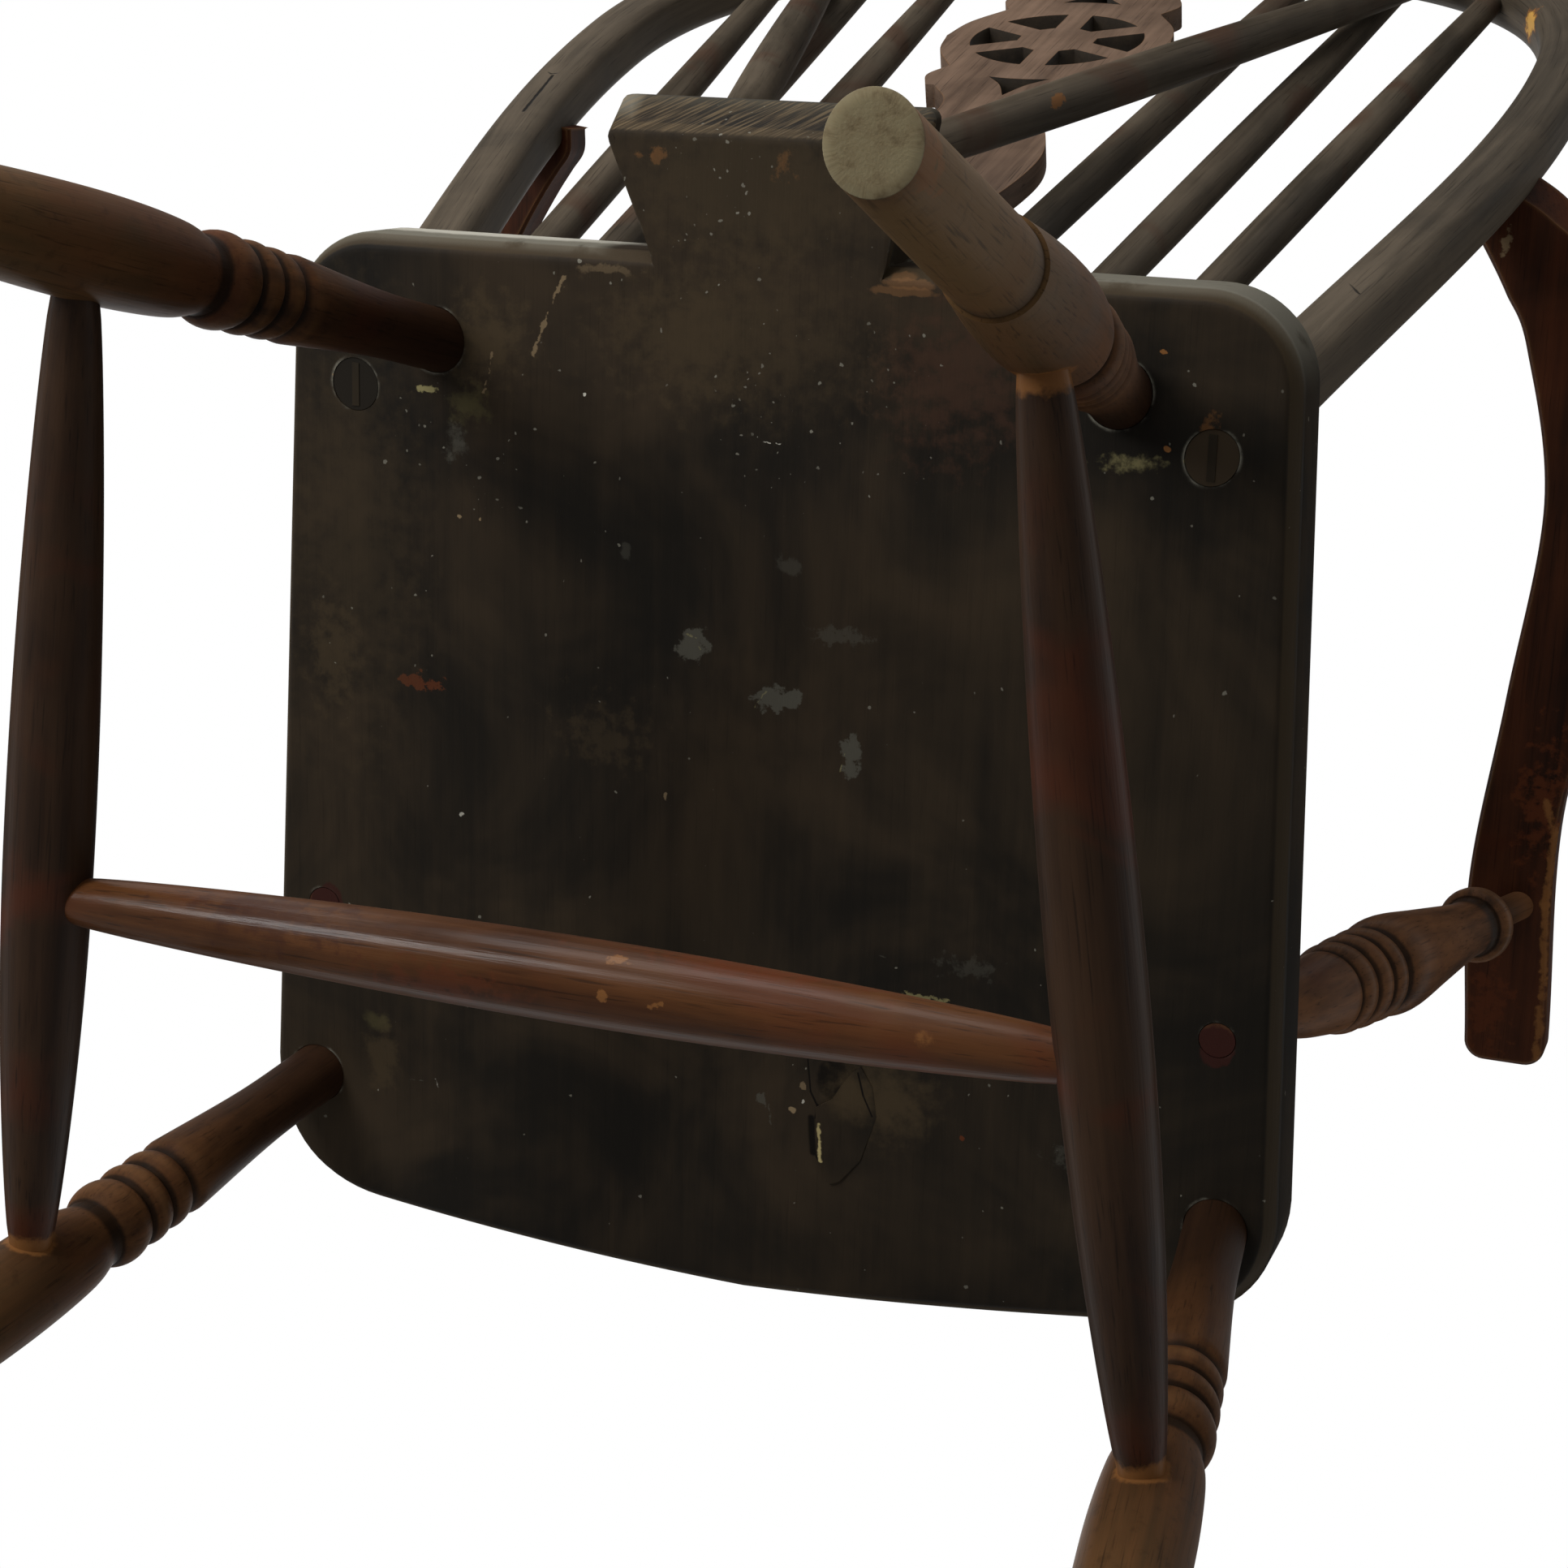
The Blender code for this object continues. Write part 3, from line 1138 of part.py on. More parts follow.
def main():
    clear_scene()
    frame = add_frame()
    add_seat(frame)
    add_legs(frame)
    add_side_stretchers(frame)
    add_cross_stretcher(frame)
    add_bow(frame)
    add_wedges(frame)
    add_sticks(frame)
    add_splat(frame)
    add_arms(frame)
    add_dowels(frame)
    add_posts(frame)
    centre_over_origin(frame)


main()
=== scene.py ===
"""Wheel-back armchair with a braced bow: fine shapes, old stained finishes, a plain stage and a camera."""
import math

import bmesh
import bpy
import numpy as np
from bpy.props import FloatProperty, FloatVectorProperty, PointerProperty
from mathutils import Matrix, Vector
from mathutils.geometry import interpolate_bezier


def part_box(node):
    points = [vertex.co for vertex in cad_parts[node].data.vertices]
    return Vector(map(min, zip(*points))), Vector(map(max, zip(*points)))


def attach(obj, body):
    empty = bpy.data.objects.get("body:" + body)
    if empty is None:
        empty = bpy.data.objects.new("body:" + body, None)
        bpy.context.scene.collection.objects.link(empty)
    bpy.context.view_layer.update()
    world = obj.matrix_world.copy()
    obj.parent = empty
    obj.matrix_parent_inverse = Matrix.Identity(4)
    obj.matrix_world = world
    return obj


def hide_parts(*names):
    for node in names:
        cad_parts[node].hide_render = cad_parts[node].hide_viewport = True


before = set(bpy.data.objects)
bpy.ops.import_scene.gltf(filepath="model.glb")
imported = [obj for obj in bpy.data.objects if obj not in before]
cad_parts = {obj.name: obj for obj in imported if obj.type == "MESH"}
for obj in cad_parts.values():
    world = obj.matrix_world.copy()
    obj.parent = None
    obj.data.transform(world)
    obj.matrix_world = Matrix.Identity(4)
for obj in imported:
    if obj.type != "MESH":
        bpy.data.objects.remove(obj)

bl_info = {
    "name": "Wheel-back armchair",
    "version": (1, 0, 0),
    "blender": (4, 5, 0),
    "location": "View3D > Sidebar > Armchair",
    "description": "Builds the turned, bent and sawn pieces of an old wheel-back armchair over its CAD frame",
    "category": "Object",
}

UP = Vector((0.0, 0.0, 1.0))
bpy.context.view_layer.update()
SEAT_LOW, SEAT_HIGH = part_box("seat")
SIDES = {"left": 1, "right": -1}
ENDS = ("front", "rear")
SPINDLES = ("inner", "middle", "outer")

# The drawing measures depth from its own zero; the frame's zero lies under the middle of the chair
DRAWN_TAIL_END = 0.247
SHIFT = Vector((0.0, SEAT_HIGH.y - DRAWN_TAIL_END, 0.0))

# Fineness of the meshes
TURN_SIDES = 56
CURVE_STEPS = 8
BEAD_STEPS = 10
HOLE_SIDES = 40
BOW_STEPS = 48
SWELLING_STEPS = 48
SOFT_SEGMENTS = 2
ROUND_STEP = 15
SHARP_ANGLE = math.radians(38.0)
DOUBLE = 1e-6

# Ends of a CAD turning: rounding of its points, depth of the slice taken for an end, and rounds of the search
AXIS_DECIMALS = 6
AXIS_SLICE = 5e-4
LEVEL_SLICE = 1e-4
AXIS_ROUNDS = 3

# Turning: fullness of a bead, and the reach and the height by which a crest is judged
BEAD_FULLNESS = 0.6
CREST_REACH = 0.008
CREST_LIFT = 0.0012
CREST_SAMPLES = 1200

# How far the grain of each piece is shifted along from that of the one before; the posts start further along
LEG_GRAIN = 1.7
STRETCHER_GRAIN = 2.3
STICK_GRAIN = 1.9
POST_GRAIN = (3.1, 1.3)
ARM_GRAIN = 0.9

# Leg from the seat down, as (length, radius at its end) of each stretch
LEG_NECK = ((0.041, 0.0124), (0.051, 0.0159))
LEG_LIP = ((0.0022, 0.0157), (0.0012, 0.0151), (0.0036, 0.0136))
LEG_BEADS = ((0.012, 0.0161), (0.012, 0.0165), (0.017, 0.0170))
LEG_VALLEY = 0.003
LEG_BULB = ((0.014, 0.0167), (0.033, 0.0182), (0.0445, 0.0172), (0.0445, 0.0146))
LEG_STEP = 0.0013
LEG_SHIN = 0.020
LEG_TENON = 0.015

# Arm post from the seat up; its turning runs past the seat's underside and is then sawn level
POST_OVERRUN = 0.002
POST_CLEAR = 0.002
POST_NECK = ((0.0247, 0.0129), (0.0247, 0.0165))
POST_RINGS = ((0.013, 0.0183), (0.013, 0.0190), (0.013, 0.0193))
POST_GROOVE_LENGTH = 0.002
POST_VASE = ((0.0065, 0.0196), (0.013, 0.0204))
POST_TAPER_SHARE = 0.42
POST_TAPER_RADIUS = 0.0169
POST_WAIST_RADIUS = 0.0122
POST_FLARE = (0.0108, 0.0129)
POST_COLLAR_FROM_ARM = 0.0509
POST_COLLAR_LENGTH = 0.0097
POST_COLLAR_SHAPE = ((0.10, 0.72), (0.22, 0.93), (0.38, 1.0), (0.62, 0.98), (0.80, 0.86), (0.93, 0.62))
POST_THROAT = (0.0065, 0.0081)

# Stretchers and sticks: how full they are, at which share of the length, and how long their straight ends are
STRETCHER_FULLNESS = 0.75
STICK_FULLNESS = 1.0
SIDE_BELLY_SHARE = 0.56
CROSS_BELLY_SHARE = 0.52
STICK_BELLY_SHARE = 0.42
SIDE_BURIED = 0.012
CROSS_BURIED = 0.010
STICK_HEAD = 0.031

# Seat outline, from the middle of the front edge round to the tail
FRONT_Y = -0.216
FRONT_HALF = 0.165
FRONT_CURVE = 0.009
FRONT_SKEW = 0.010
CORNER_Y = -0.150
CORNER_FULLNESS = 0.6
HALF_WIDTH = 0.2125
REAR_TAPER = 0.0135
REAR_Y = 0.192
REAR_RADIUS = 0.036
TAIL_BASE_HALF = 0.045
TAIL_END_HALF = 0.063
TAIL_LENGTH = DRAWN_TAIL_END - REAR_Y
TAIL_SKEW = 0.008
TAIL_CORNER = 0.005
TAIL_CORNER_SLANT = 0.3
TAIL_CORNER_FULLNESS = 0.55
TAIL_CORNER_POINTS = 5
TAIL_BEVEL_IN = 0.012
TAIL_EDGE = 0.008
CHAMFER_IN = 0.005
CHAMFER_RISE = 0.007
RIM_ROUND = 0.002
UNDER_BAND = 0.003
DISH_MIDDLE = Vector((0.0, -0.030))
DISH_HALF = Vector((0.150, 0.132))
DISH_RINGS = (1.0, 0.97, 0.93, 0.88, 0.82, 0.75, 0.67, 0.58, 0.48, 0.37, 0.25, 0.12)
DISH_SIDES = 96
DISH_FALL = 1.2
SOCKET_DEPTH = 0.010
SOCKET_GAP = 0.0003

# Least share of a mitre that an inset corner keeps, and the angle over which an edge is softened
LEAST_MITRE = 0.5
FLAT_ANGLE = 0.15

# Pale dust and painted sheen on the seat's rim: where they start before the rear corner, their strength on the tail,
# and the share of the chamfer's height from which they show
RIM_DUST_SHEEN_START = 1.2
TAIL_DUST_SHEEN = 0.40
CHAMFER_SHARE = 0.8

# Bow: a hoop in one raked plane, drawn from the foot to the widest place to the crown
BOW_FOOT = (0.1691, 0.1338)
BOW_RAKE = 0.336
BOW_FLARE = 0.179
BOW_WIDEST_HALF = 0.2327
BOW_WIDEST_RISE = 0.3757
BOW_CROWN_RISE = 0.1703
BOW_FULLNESS = (0.397, 0.317, 0.646, 0.653)
BOW_FOOT_RUN = 0.05
BOW_TENON_RADIUS = 0.0095
BOW_BURIED = 0.004

# Splat template: half widths and heights from the seat up
SPLAT_FOOT_Y = 0.168
SPLAT_CLEAR = 0.002
SPLAT_STEM = ((0.025, 0.022), (0.021, 0.083), (0.03597, 0.1223), (0.042, 0.173), (0.0346, 0.20958),
              (0.022, 0.232))
SPLAT_HUB = 0.345
SPLAT_COVE = ((0.022, 0.232), (0.025, 0.25075), (0.036, 0.2695))
SPLAT_BUMP = ((0.040, 0.2695), (0.044, 0.284), (0.038, 0.2985))
SPLAT_RIM = ((0.038, 0.2985), (0.05025, 0.32175), (0.0545, 0.345))
SPLAT_HEAD = ((0.022, 0.458), (0.026, 0.47675), (0.034, 0.4955))
SPLAT_HEAD_BURIED = 0.0358
SPLAT_TENON = 0.013
WHEEL_HOLES = 6
WHEEL_HUB = 0.0185
SPANDREL_DROP = 0.0605
SPANDREL_HALF = 0.0145
SPANDREL_HEIGHT = 0.026
SPANDREL_HOLLOW = 0.42

# How the sawn walls of the splat are told from its faces, and those of its openings from its outline
SAWN_ANGLE = 1.2
WALL_TILT = 0.5
WHEEL_REACH = 1.04
SPANDREL_REACH = (1.2, 0.9)

# Arms: edges drawn about the line from the bow to the arm's front end, as shares and distances outwards
ARM_START = Vector((0.2252, 0.2274))
ARM_END = Vector((0.2609, -0.1672))
ARM_INNER = ((0.010, -0.0190), (0.038, -0.0197), (0.062, -0.0145), (0.091, -0.0082), (0.136, 0.0002),
             (0.195, 0.0090), (0.361, 0.0166), (0.577, 0.0009), (0.787, -0.0151))
ARM_OUTER = ((0.008, 0.0075), (0.043, 0.0248), (0.104, 0.0432), (0.283, 0.0650), (0.483, 0.0563),
             (0.699, 0.0257))
ARM_BEVEL_IN = 0.010
ARM_BEVEL_RISE = 0.012
ARM_BEVEL_SHARE = 0.40
ARM_FRONT_HALF = 0.0178
ARM_FRONT_RADIUS = 0.009

# Marks, in millimetres of the frame: a patch is centre, radii, raggedness, softness, shade and strength
MM = 0.001
MARK_DEPTH = 0.006
FLECK_DEPTH = 0.06
SEAT_PATCHES = (
    (112.5, 100.8, 23.0, 23.3, 0.5, 0.9, "umber", 0.75), (63.9, 130.5, 13.8, 1.6, 0.7, 0.6, "tan", 0.28),
    (120.7, 75.9, 11.2, 9.3, 0.5, 0.8, "olive", 0.8), (125.9, 61.2, 5.6, 7.5, 0.6, 0.7, "ash", 0.6),
    (139.5, 80.9, 5.6, 1.6, 1.0, 0.5, "straw", 0.8), (25.6, -7.6, 6.6, 7.1, 0.5, 0.25, "ash", 0.75),
    (-8.6, -24.8, 10.2, 4.7, 0.6, 0.25, "ash", 0.8), (-39.6, -42.5, 4.3, 8.4, 0.6, 0.25, "ash", 0.75),
    (-32.1, 1.7, 10.5, 3.4, 1.2, 0.6, "ash", 0.35), (-13.2, 26.5, 6.2, 4.0, 0.6, 0.5, "ash", 0.3),
    (53.7, 25.8, 2.6, 4.0, 0.3, 0.4, "ash", 0.3), (142.5, -35.0, 7.2, 2.8, 1.4, 0.4, "rust", 0.7),
    (180.6, -26.0, 14.8, 28.0, 0.6, 0.9, "umber", 0.45), (61.9, -47.5, 23.0, 15.5, 0.9, 0.9, "umber", 0.35),
    (160.3, -194.6, 9.2, 18.6, 0.4, 0.7, "umber", 0.6), (162.8, -180.8, 7.2, 6.2, 0.5, 0.8, "olive", 0.5),
    (44.7, 172.9, 6.6, 2.8, 1.0, 0.6, "orange", 0.6), (-6.4, 171.4, 4.6, 6.2, 1.1, 0.7, "orange", 0.55),
    (32.4, 106.5, 39.5, 28.0, 0.5, 0.9, "umber", 0.35), (-75.0, 99.7, 36.2, 37.3, 0.6, 0.95, "russet", 0.55),
    (-139.3, 75.8, 14.0, 4.0, 0.7, 0.95, "straw", 0.45), (-160.2, 78.4, 2.0, 1.6, 0.8, 0.4, "straw", 0.7),
    (-149.6, 115.5, 1.3, 0.9, 0.4, 0.3, "orange", 0.9), (-153.2, 82.1, 1.3, 1.2, 0.4, 0.3, "orange", 0.9),
    (-169.2, 85.7, 5.3, 9.3, 0.9, 0.7, "orange", 0.35), (71.7, 83.4, 1.0, 0.9, 0.3, 0.3, "chalk", 0.95),
    (123.3, -86.4, 1.0, 1.1, 0.3, 0.3, "chalk", 0.6), (124.2, 32.4, 1.0, 0.8, 0.3, 0.3, "tan", 0.8),
    (115.1, 32.6, 0.8, 1.2, 0.3, 0.3, "tan", 0.8), (35.5, -67.8, 1.0, 1.9, 0.6, 0.3, "tan", 0.6),
    (-135.4, -189.0, 9.2, 4.3, 1.2, 0.7, "ash", 0.35), (-88.7, -120.1, 13.2, 4.3, 1.0, 0.7, "ash", 0.3),
    (-186.3, -136.1, 7.2, 7.5, 0.1, 0.15, "plum", 0.9), (183.3, -130.7, 6.2, 7.5, 0.1, 0.15, "plum", 0.9),
    (-21.1, -187.7, 1.6, 1.2, 0.4, 0.3, "tan", 0.8), (-24.8, -177.3, 1.3, 1.6, 0.8, 0.3, "tan", 0.5),
    (-25.0, -183.7, 0.8, 0.8, 0.3, 0.3, "chalk", 0.6), (-52.5, 130.2, 15.0, 2.0, 0.15, 0.3, "bare", 0.4),
    (-55.2, 132.8, 11.6, 2.4, 0.15, 0.3, "bare", 0.4), (-52.6, 135.5, 6.7, 2.4, 0.15, 0.3, "bare", 0.4),
    (-39.8, -172.5, 10.5, 10.0, 0.05, 0.2, "grime", 0.95), (-8.4, -185.8, 2.0, 3.0, 1.4, 0.5, "ash", 0.6),
    (-71.5, -133.7, 7.0, 1.2, 1.4, 0.5, "straw", 0.5), (-90.3, -187.6, 1.2, 1.1, 0.4, 0.3, "rust", 0.9),
    (-58.0, -178.0, 30.0, 24.0, 0.3, 0.9, "umber", 0.85), (8.0, 165.0, 70.0, 36.0, 0.2, 0.7, "umber", 0.55),
    (10.0, 110.0, 70.0, 40.0, 0.4, 0.9, "umber", 0.45), (170.0, 20.0, 40.0, 120.0, 0.4, 0.9, "umber", 0.30))

# A line is start, end, half width, raggedness, shade, strength and depth: scratches first, then cracks;
# the wide crack beside the lifted splinter is partly painted shadow
SEAT_LINES = (
    (80.8, 126.8, 86.7, 113.2, 0.70, 1.0, "tan", 0.6, 0.0),
    (86.7, 113.2, 93.4, 97.0, 0.60, 1.1, "tan", 0.55, 0.0),
    (110.4, 96.4, 113.5, 80.8, 0.48, 0.6, "tan", 0.5, 0.0),
    (1.1, 73.9, 2.1, 72.7, 0.32, 0.2, "chalk", 0.6, 0.0),
    (-0.2, 71.6, -3.8, 71.6, 0.32, 0.2, "chalk", 0.7, 0.0),
    (-6.3, 71.9, -7.9, 71.7, 0.32, 0.2, "chalk", 0.7, 0.0),
    (28.4, -3.8, 22.7, -4.5, 0.32, 0.4, "straw", 0.35, 0.0),
    (23.3, -4.2, 22.2, -8.8, 0.26, 0.4, "straw", 0.3, 0.0),
    (-0.5, -28.9, -4.9, -22.1, 0.32, 0.5, "straw", 0.3, 0.0),
    (-35.9, -49.6, -38.8, -38.2, 0.26, 0.5, "straw", 0.3, 0.0),
    (146.8, -203.0, 135.6, -202.6, 0.21, 0.3, "ash", 0.6, 0.0),
    (135.6, -201.2, 133.8, -204.4, 0.24, 0.2, "chalk", 0.4, 0.0),
    (-10.4, -184.1, -12.1, -195.7, 0.35, 0.6, "ash", 0.5, 0.0),
    (-47.0, -118.2, -56.3, -120.1, 0.24, 0.3, "ash", 0.4, 0.0),
    (179.1, 83.3, 164.1, 84.4, 0.5, 0.2, "tan", 0.7, 0.0),
    (-26.3, -163.0, -28.2, -179.1, 0.5, 0.05, "grime", 1.0, 1.0),
    (-28.2, -179.1, -31.5, -185.0, 0.6, 0.05, "grime", 1.0, 1.0),
    (-31.4, -184.3, -30.6, -189.8, 0.6, 0.05, "grime", 1.0, 1.0),
    # The wide split beside the splinter's lifted edge: a real crack, widened into a painted shadow
    (-28.9, -190.1, -30.1, -204.2, 1.9, 0.05, "grime", 1.0, 1.5),
    (-30.4, -203.4, -37.6, -215.8, 0.7, 0.05, "grime", 1.0, 1.0))
SPLINTER_LINES = (
    (-32.4, -191.6, -33.1, -198.5, 0.75, 0.08, "raw", 0.8, 0.0),
    (-33.1, -198.5, -33.2, -206.3, 1.0, 0.08, "raw", 0.95, 0.0),
    (-47.6, -168.2, -50.0, -177.1, 0.55, 0.05, "grime", 1.0, 1.0),
    (-50.0, -177.1, -53.9, -185.2, 0.45, 0.05, "grime", 1.0, 1.0))

# Fields of flecks, in millimetres of the frame: centre, radii and density; then the fields' edges, the flecks
# elsewhere, and the fineness, sizes, strengths and softness of a fleck
FLECK_FIELDS = ((20.0, 128.0, 34.0, 60.0, 0.75), (-20.0, 100.0, 60.0, 60.0, 0.28),
                (110.0, 60.0, 50.0, 60.0, 0.25))
FLECK_EDGE = {"Ragged": 0.8, "Softness": 0.9}
FLECKS_ELSEWHERE = 0.035
FLECK_SCALE = 390.0
FLECK_SIZE = (3.0, 0.28, 0.07)
FLECK_SHADE = (0.7, 0.2)
FLECK_SOFT = 0.06

# The splinter that has lifted near the front edge, in millimetres of the frame, and its lift at either side
SPLINTER = (
    (-31.1, -184.7), (-37.4, -180.6), (-41.2, -173.9), (-45.0, -168.6), (-48.5, -165.4), (-53.5, -173.2),
    (-55.6, -185.2), (-49.7, -204.1), (-41.6, -214.1), (-37.6, -215.8), (-32.9, -207.4), (-31.2, -197.2))
SPLINTER_LIFT = (0.00005, 0.0016)
SPLINTER_STAIN = ((-45.0, -178.0, 15.0, 15.0, 0.2, 0.8, "umber", 0.9),)

# Worn places and cracks on the seat's edge and on the other pieces, in metres, with the same columns; the patch on
# the seat's rim and the streak on the cross stretcher are partly painted light
JOINT_WEAR = [(place, (0.0104, 0.0104, 0.0104), 0.08, 0.2, "orange", 0.85)
              for place in ((-0.1617, 0.1288, 0.2274), (0.2077, -0.2143, 0.2450), (-0.2077, -0.2143, 0.2450))]
POST_ENDS = [(place, (0.010, 0.010, 0.008), 0.0, 0.2, "plum", 1.0)
             for place in ((-0.1863, -0.1361, 0.419), (0.1833, -0.1307, 0.419))]
FOOT_WEAR = [((-0.198, 0.200, 0.008), (0.006, 0.012, 0.014), 0.8, 0.5, "orange", 0.7)]
CROSS_WEAR_AND_LIGHT = [((-0.0308, -0.0675, 0.2308), (0.004, 0.0015, 0.002), 0.8, 0.4, "orange", 0.9),
              ((-0.0288, -0.0778, 0.2242), (0.002, 0.002, 0.002), 0.8, 0.4, "orange", 0.8),
              ((-0.0468, -0.0783, 0.2244), (0.003, 0.0015, 0.002), 0.8, 0.4, "orange", 0.7),
              ((-0.1350, -0.0760, 0.2220), (0.005, 0.003, 0.008), 0.6, 0.5, "orange", 0.6),
              # A red streak along the upper side of the right half: partly red stain, partly painted light from the
              # lamp behind the chair
              ((-0.0900, -0.0640, 0.2380), (0.080, 0.006, 0.012), 0.5, 0.9, "rust", 0.8),
              ((0.0300, -0.0830, 0.2240), (0.030, 0.008, 0.010), 1.0, 0.8, "rust", 0.6),
              ((0.0950, -0.0700, 0.2300), (0.040, 0.012, 0.012), 0.9, 0.8, "plum", 0.5)]
# A chalky patch on the left half of the rear rim: partly dust, partly painted sheen on the side that gets more light
RIM_CHALK_AND_SHEEN = [((0.125, 0.141, 0.446), (0.085, 0.014, 0.013), 0.10, 0.6, "chalk", 0.75)]
BOW_WEAR = [((-0.208, 0.2305, 0.856), (0.010, 0.008, 0.012), 0.6, 0.4, "orange", 0.9),
            ((-0.208, 0.2305, 0.856), (0.008, 0.006, 0.009), 0.5, 0.4, "fresh", 0.95),
            ((-0.1700, 0.0800, 0.419), (0.014, 0.014, 0.012), 0.0, 0.2, "seat_light", 0.9),
            ((0.1700, 0.0800, 0.419), (0.014, 0.014, 0.012), 0.0, 0.2, "seat_dark", 0.9)]
STICK_WEAR = [((-0.0679, 0.1957, 0.5527), (0.003, 0.004, 0.005), 0.8, 0.4, "orange", 0.8)]
ARM_WEAR = [((-0.2667, -0.0988, 0.687), (0.012, 0.030, 0.004), 1.1, 0.8, "rust", 0.8),
            ((-0.2511, -0.1955, 0.687), (0.012, 0.020, 0.004), 1.1, 0.8, "rust", 0.7),
            ((0.2500, -0.1200, 0.687), (0.014, 0.034, 0.004), 1.1, 0.8, "rust", 0.7),
            ((-0.2282, 0.1409, 0.687), (0.003, 0.006, 0.003), 0.6, 0.4, "tan", 0.7)]
ARM_EDGE = ((-0.2690, -0.0985, 0.688), (-0.2735, -0.1127, 0.688), (-0.2725, -0.1454, 0.688),
            (-0.2750, -0.1781, 0.688), (-0.2755, -0.2164, 0.688))
ARM_LINES = [(*ends, 0.0024, 0.0010, "orange", 0.8, 0.0) for ends in zip(ARM_EDGE, ARM_EDGE[1:])]
BOW_CRACKS = (((0.2264, 0.1912, 0.7094), (0.2191, 0.1759, 0.6639), 0.0011, 0.0002, "grime", 1.0, 1.0),
              ((0.2391, 0.1928, 0.7213), (0.2282, 0.1918, 0.7114), 0.0008, 0.0002, "grime", 0.9, 1.0),
              ((0.2282, 0.1918, 0.7114), (0.2193, 0.1918, 0.7158), 0.0008, 0.0002, "grime", 0.9, 1.0),
              ((-0.1876, 0.1338, 0.5416), (-0.1965, 0.1302, 0.5280), 0.0007, 0.0002, "grime", 0.9, 1.0))
TAIL_GOUGE = ((0.0215, 0.1847, 0.427), (0.0183, 0.1927, 0.438), 0.0012, 0.0006, "grime", 0.9, 1.5)

# Grain: fineness along and across the wood, then the detail, roughness and distortion of its noise
GRAIN_NOISE = {"Figure": ((5.0, 60.0, 60.0), (5.0, 0.6, 0.8)), "Pores": ((28.0, 1100.0, 1100.0), (2.0,)),
               "Streaks": ((9.0, 260.0, 260.0), (3.0, 0.5, 0.4))}
FIGURE_SHARE = 0.75
STREAK_SHARE = 0.35
CLOUD_SHARE = 1.40
PORE_SHARE = 0.5
FIGURE_RELIEF = 0.4
PORE_RELIEF = -0.5
RELIEF = {"Strength": 0.35, "Distance": 0.0005}

# Other noises of the finishes: scale, detail, roughness and distortion
CLOUD_NOISE = (11.0, 4.0, 0.6, 0.6)
MOTTLE_NOISE = (170.0, 5.0, 0.65)
JITTER_NOISE = (330.0, 2.0)
RED_NOISE = (17.0, 3.0, 0.5, 1.0)
CREST_NOISE = (55.0, 4.0, 0.6)
ARRIS_NOISE = (70.0, 5.0, 0.65)
FOOT_NOISE = (90.0,)
SAW_NOISE = (1.0, 3.0, 0.6)

# How far the noises break up an outline, and the share of a line's width that is at full strength
JITTER_REACH = (0.0026, 0.0026, 0.0026)
MOTTLE_REACH = 5.0
LINE_CORE = 0.4
SCUFF_SHEEN_REACH = 0.10
FOOT_REACH = 0.012

# Start and end of the step from dark to light stain, each with how far a strong figure moves it
TONE_STEP = ((0.52, 0.03), (0.93, 0.24))

# Rubbed crests, and the seat's rim with its pale dust and painted sheen: greatest share, then the step of the noise
# that breaks them up
CREST_SHOWN = (0.32, 0.35, 0.65)
RIM_DUST_SHEEN_SHOWN = (0.95, 0.20, 0.45)

# Other smooth steps: start, end, least and greatest share; where one has no greatest share, each finish gives it
RED_STEP = (0.52, 0.74, 0.0, 0.75)
SCUFF_SHEEN_STEP = (0.38, 0.09, 0.0, 0.75)
THIGH_STEP = (0.30, 0.40, 0.0, 0.85)
PORE_STEP = (0.58, 0.72, 0.0)
HOLLOW_STEP = (-0.05, -0.8, 0.0, 0.8)
CREST_STEP = (0.15, 0.9, 0.0)
ARRIS_STEP = (0.995, 0.86)
CHAMFER_STEP = (0.0004, 0.0015)
SAW_STEP = (0.42, 0.68, 0.0, 0.4)
FOOT_STEP = (0.022, 0.006, 0.0, 0.3)
FOOT_END_STEP = (0.0004, 0.0001)
END_GRAIN_STEP = (0.40, 0.70, 0.0, 0.55)
FOOT_DIRT_STEP = (0.52, 0.75, 0.0, 0.35)
GLANCE_STEP = (0.45, 0.85, 0.0)

# Arrises: samples of their rounding, softness of their breaks and how far the stain is rubbed off
ARRIS_SAMPLES = 6
ARRIS_BREAK = 0.12
ARRIS_SHARE = 0.8

# Marks of the saw on the tail's end: directions across and along them with their fineness, edges and depth;
# and how thin the stain on the chamfer is
SAW_WAYS = (((0.80, 0.54, 0.27), 900.0), ((-0.60, 0.72, 0.36), 45.0))
SAW_END_SOFT = 0.0006
SAW_EDGE_SOFT = 0.001
SAW_RELIEF = 2.0
CHAMFER_STAIN = 0.6

# Gloss: how far clouds and pores change the roughness
CLOUD_GLOSS = 0.30
PORE_GLOSS = 0.10

# The floor lies a hair under the feet, so that their ends stay clear of it; away from them it turns white
FLOOR_GAP = 0.0004
FLOOR_HALF = 4.0
FLOOR_ROUGHNESS = 0.9
FLOOR_WHITE = (0.7, 1.6)

# Lamps: sides and place of each, and what all of them point at
LAMPS = {"key": ((1.2, 1.2), (0.5, 1.45, 0.05)), "strip": ((0.50, 0.08), (0.69, 0.73, -0.51)),
         "top": ((1.8, 1.8), (0.7, -0.9, 2.4))}
LAMP_AIM = Vector((0.0, 0.0, 0.45))

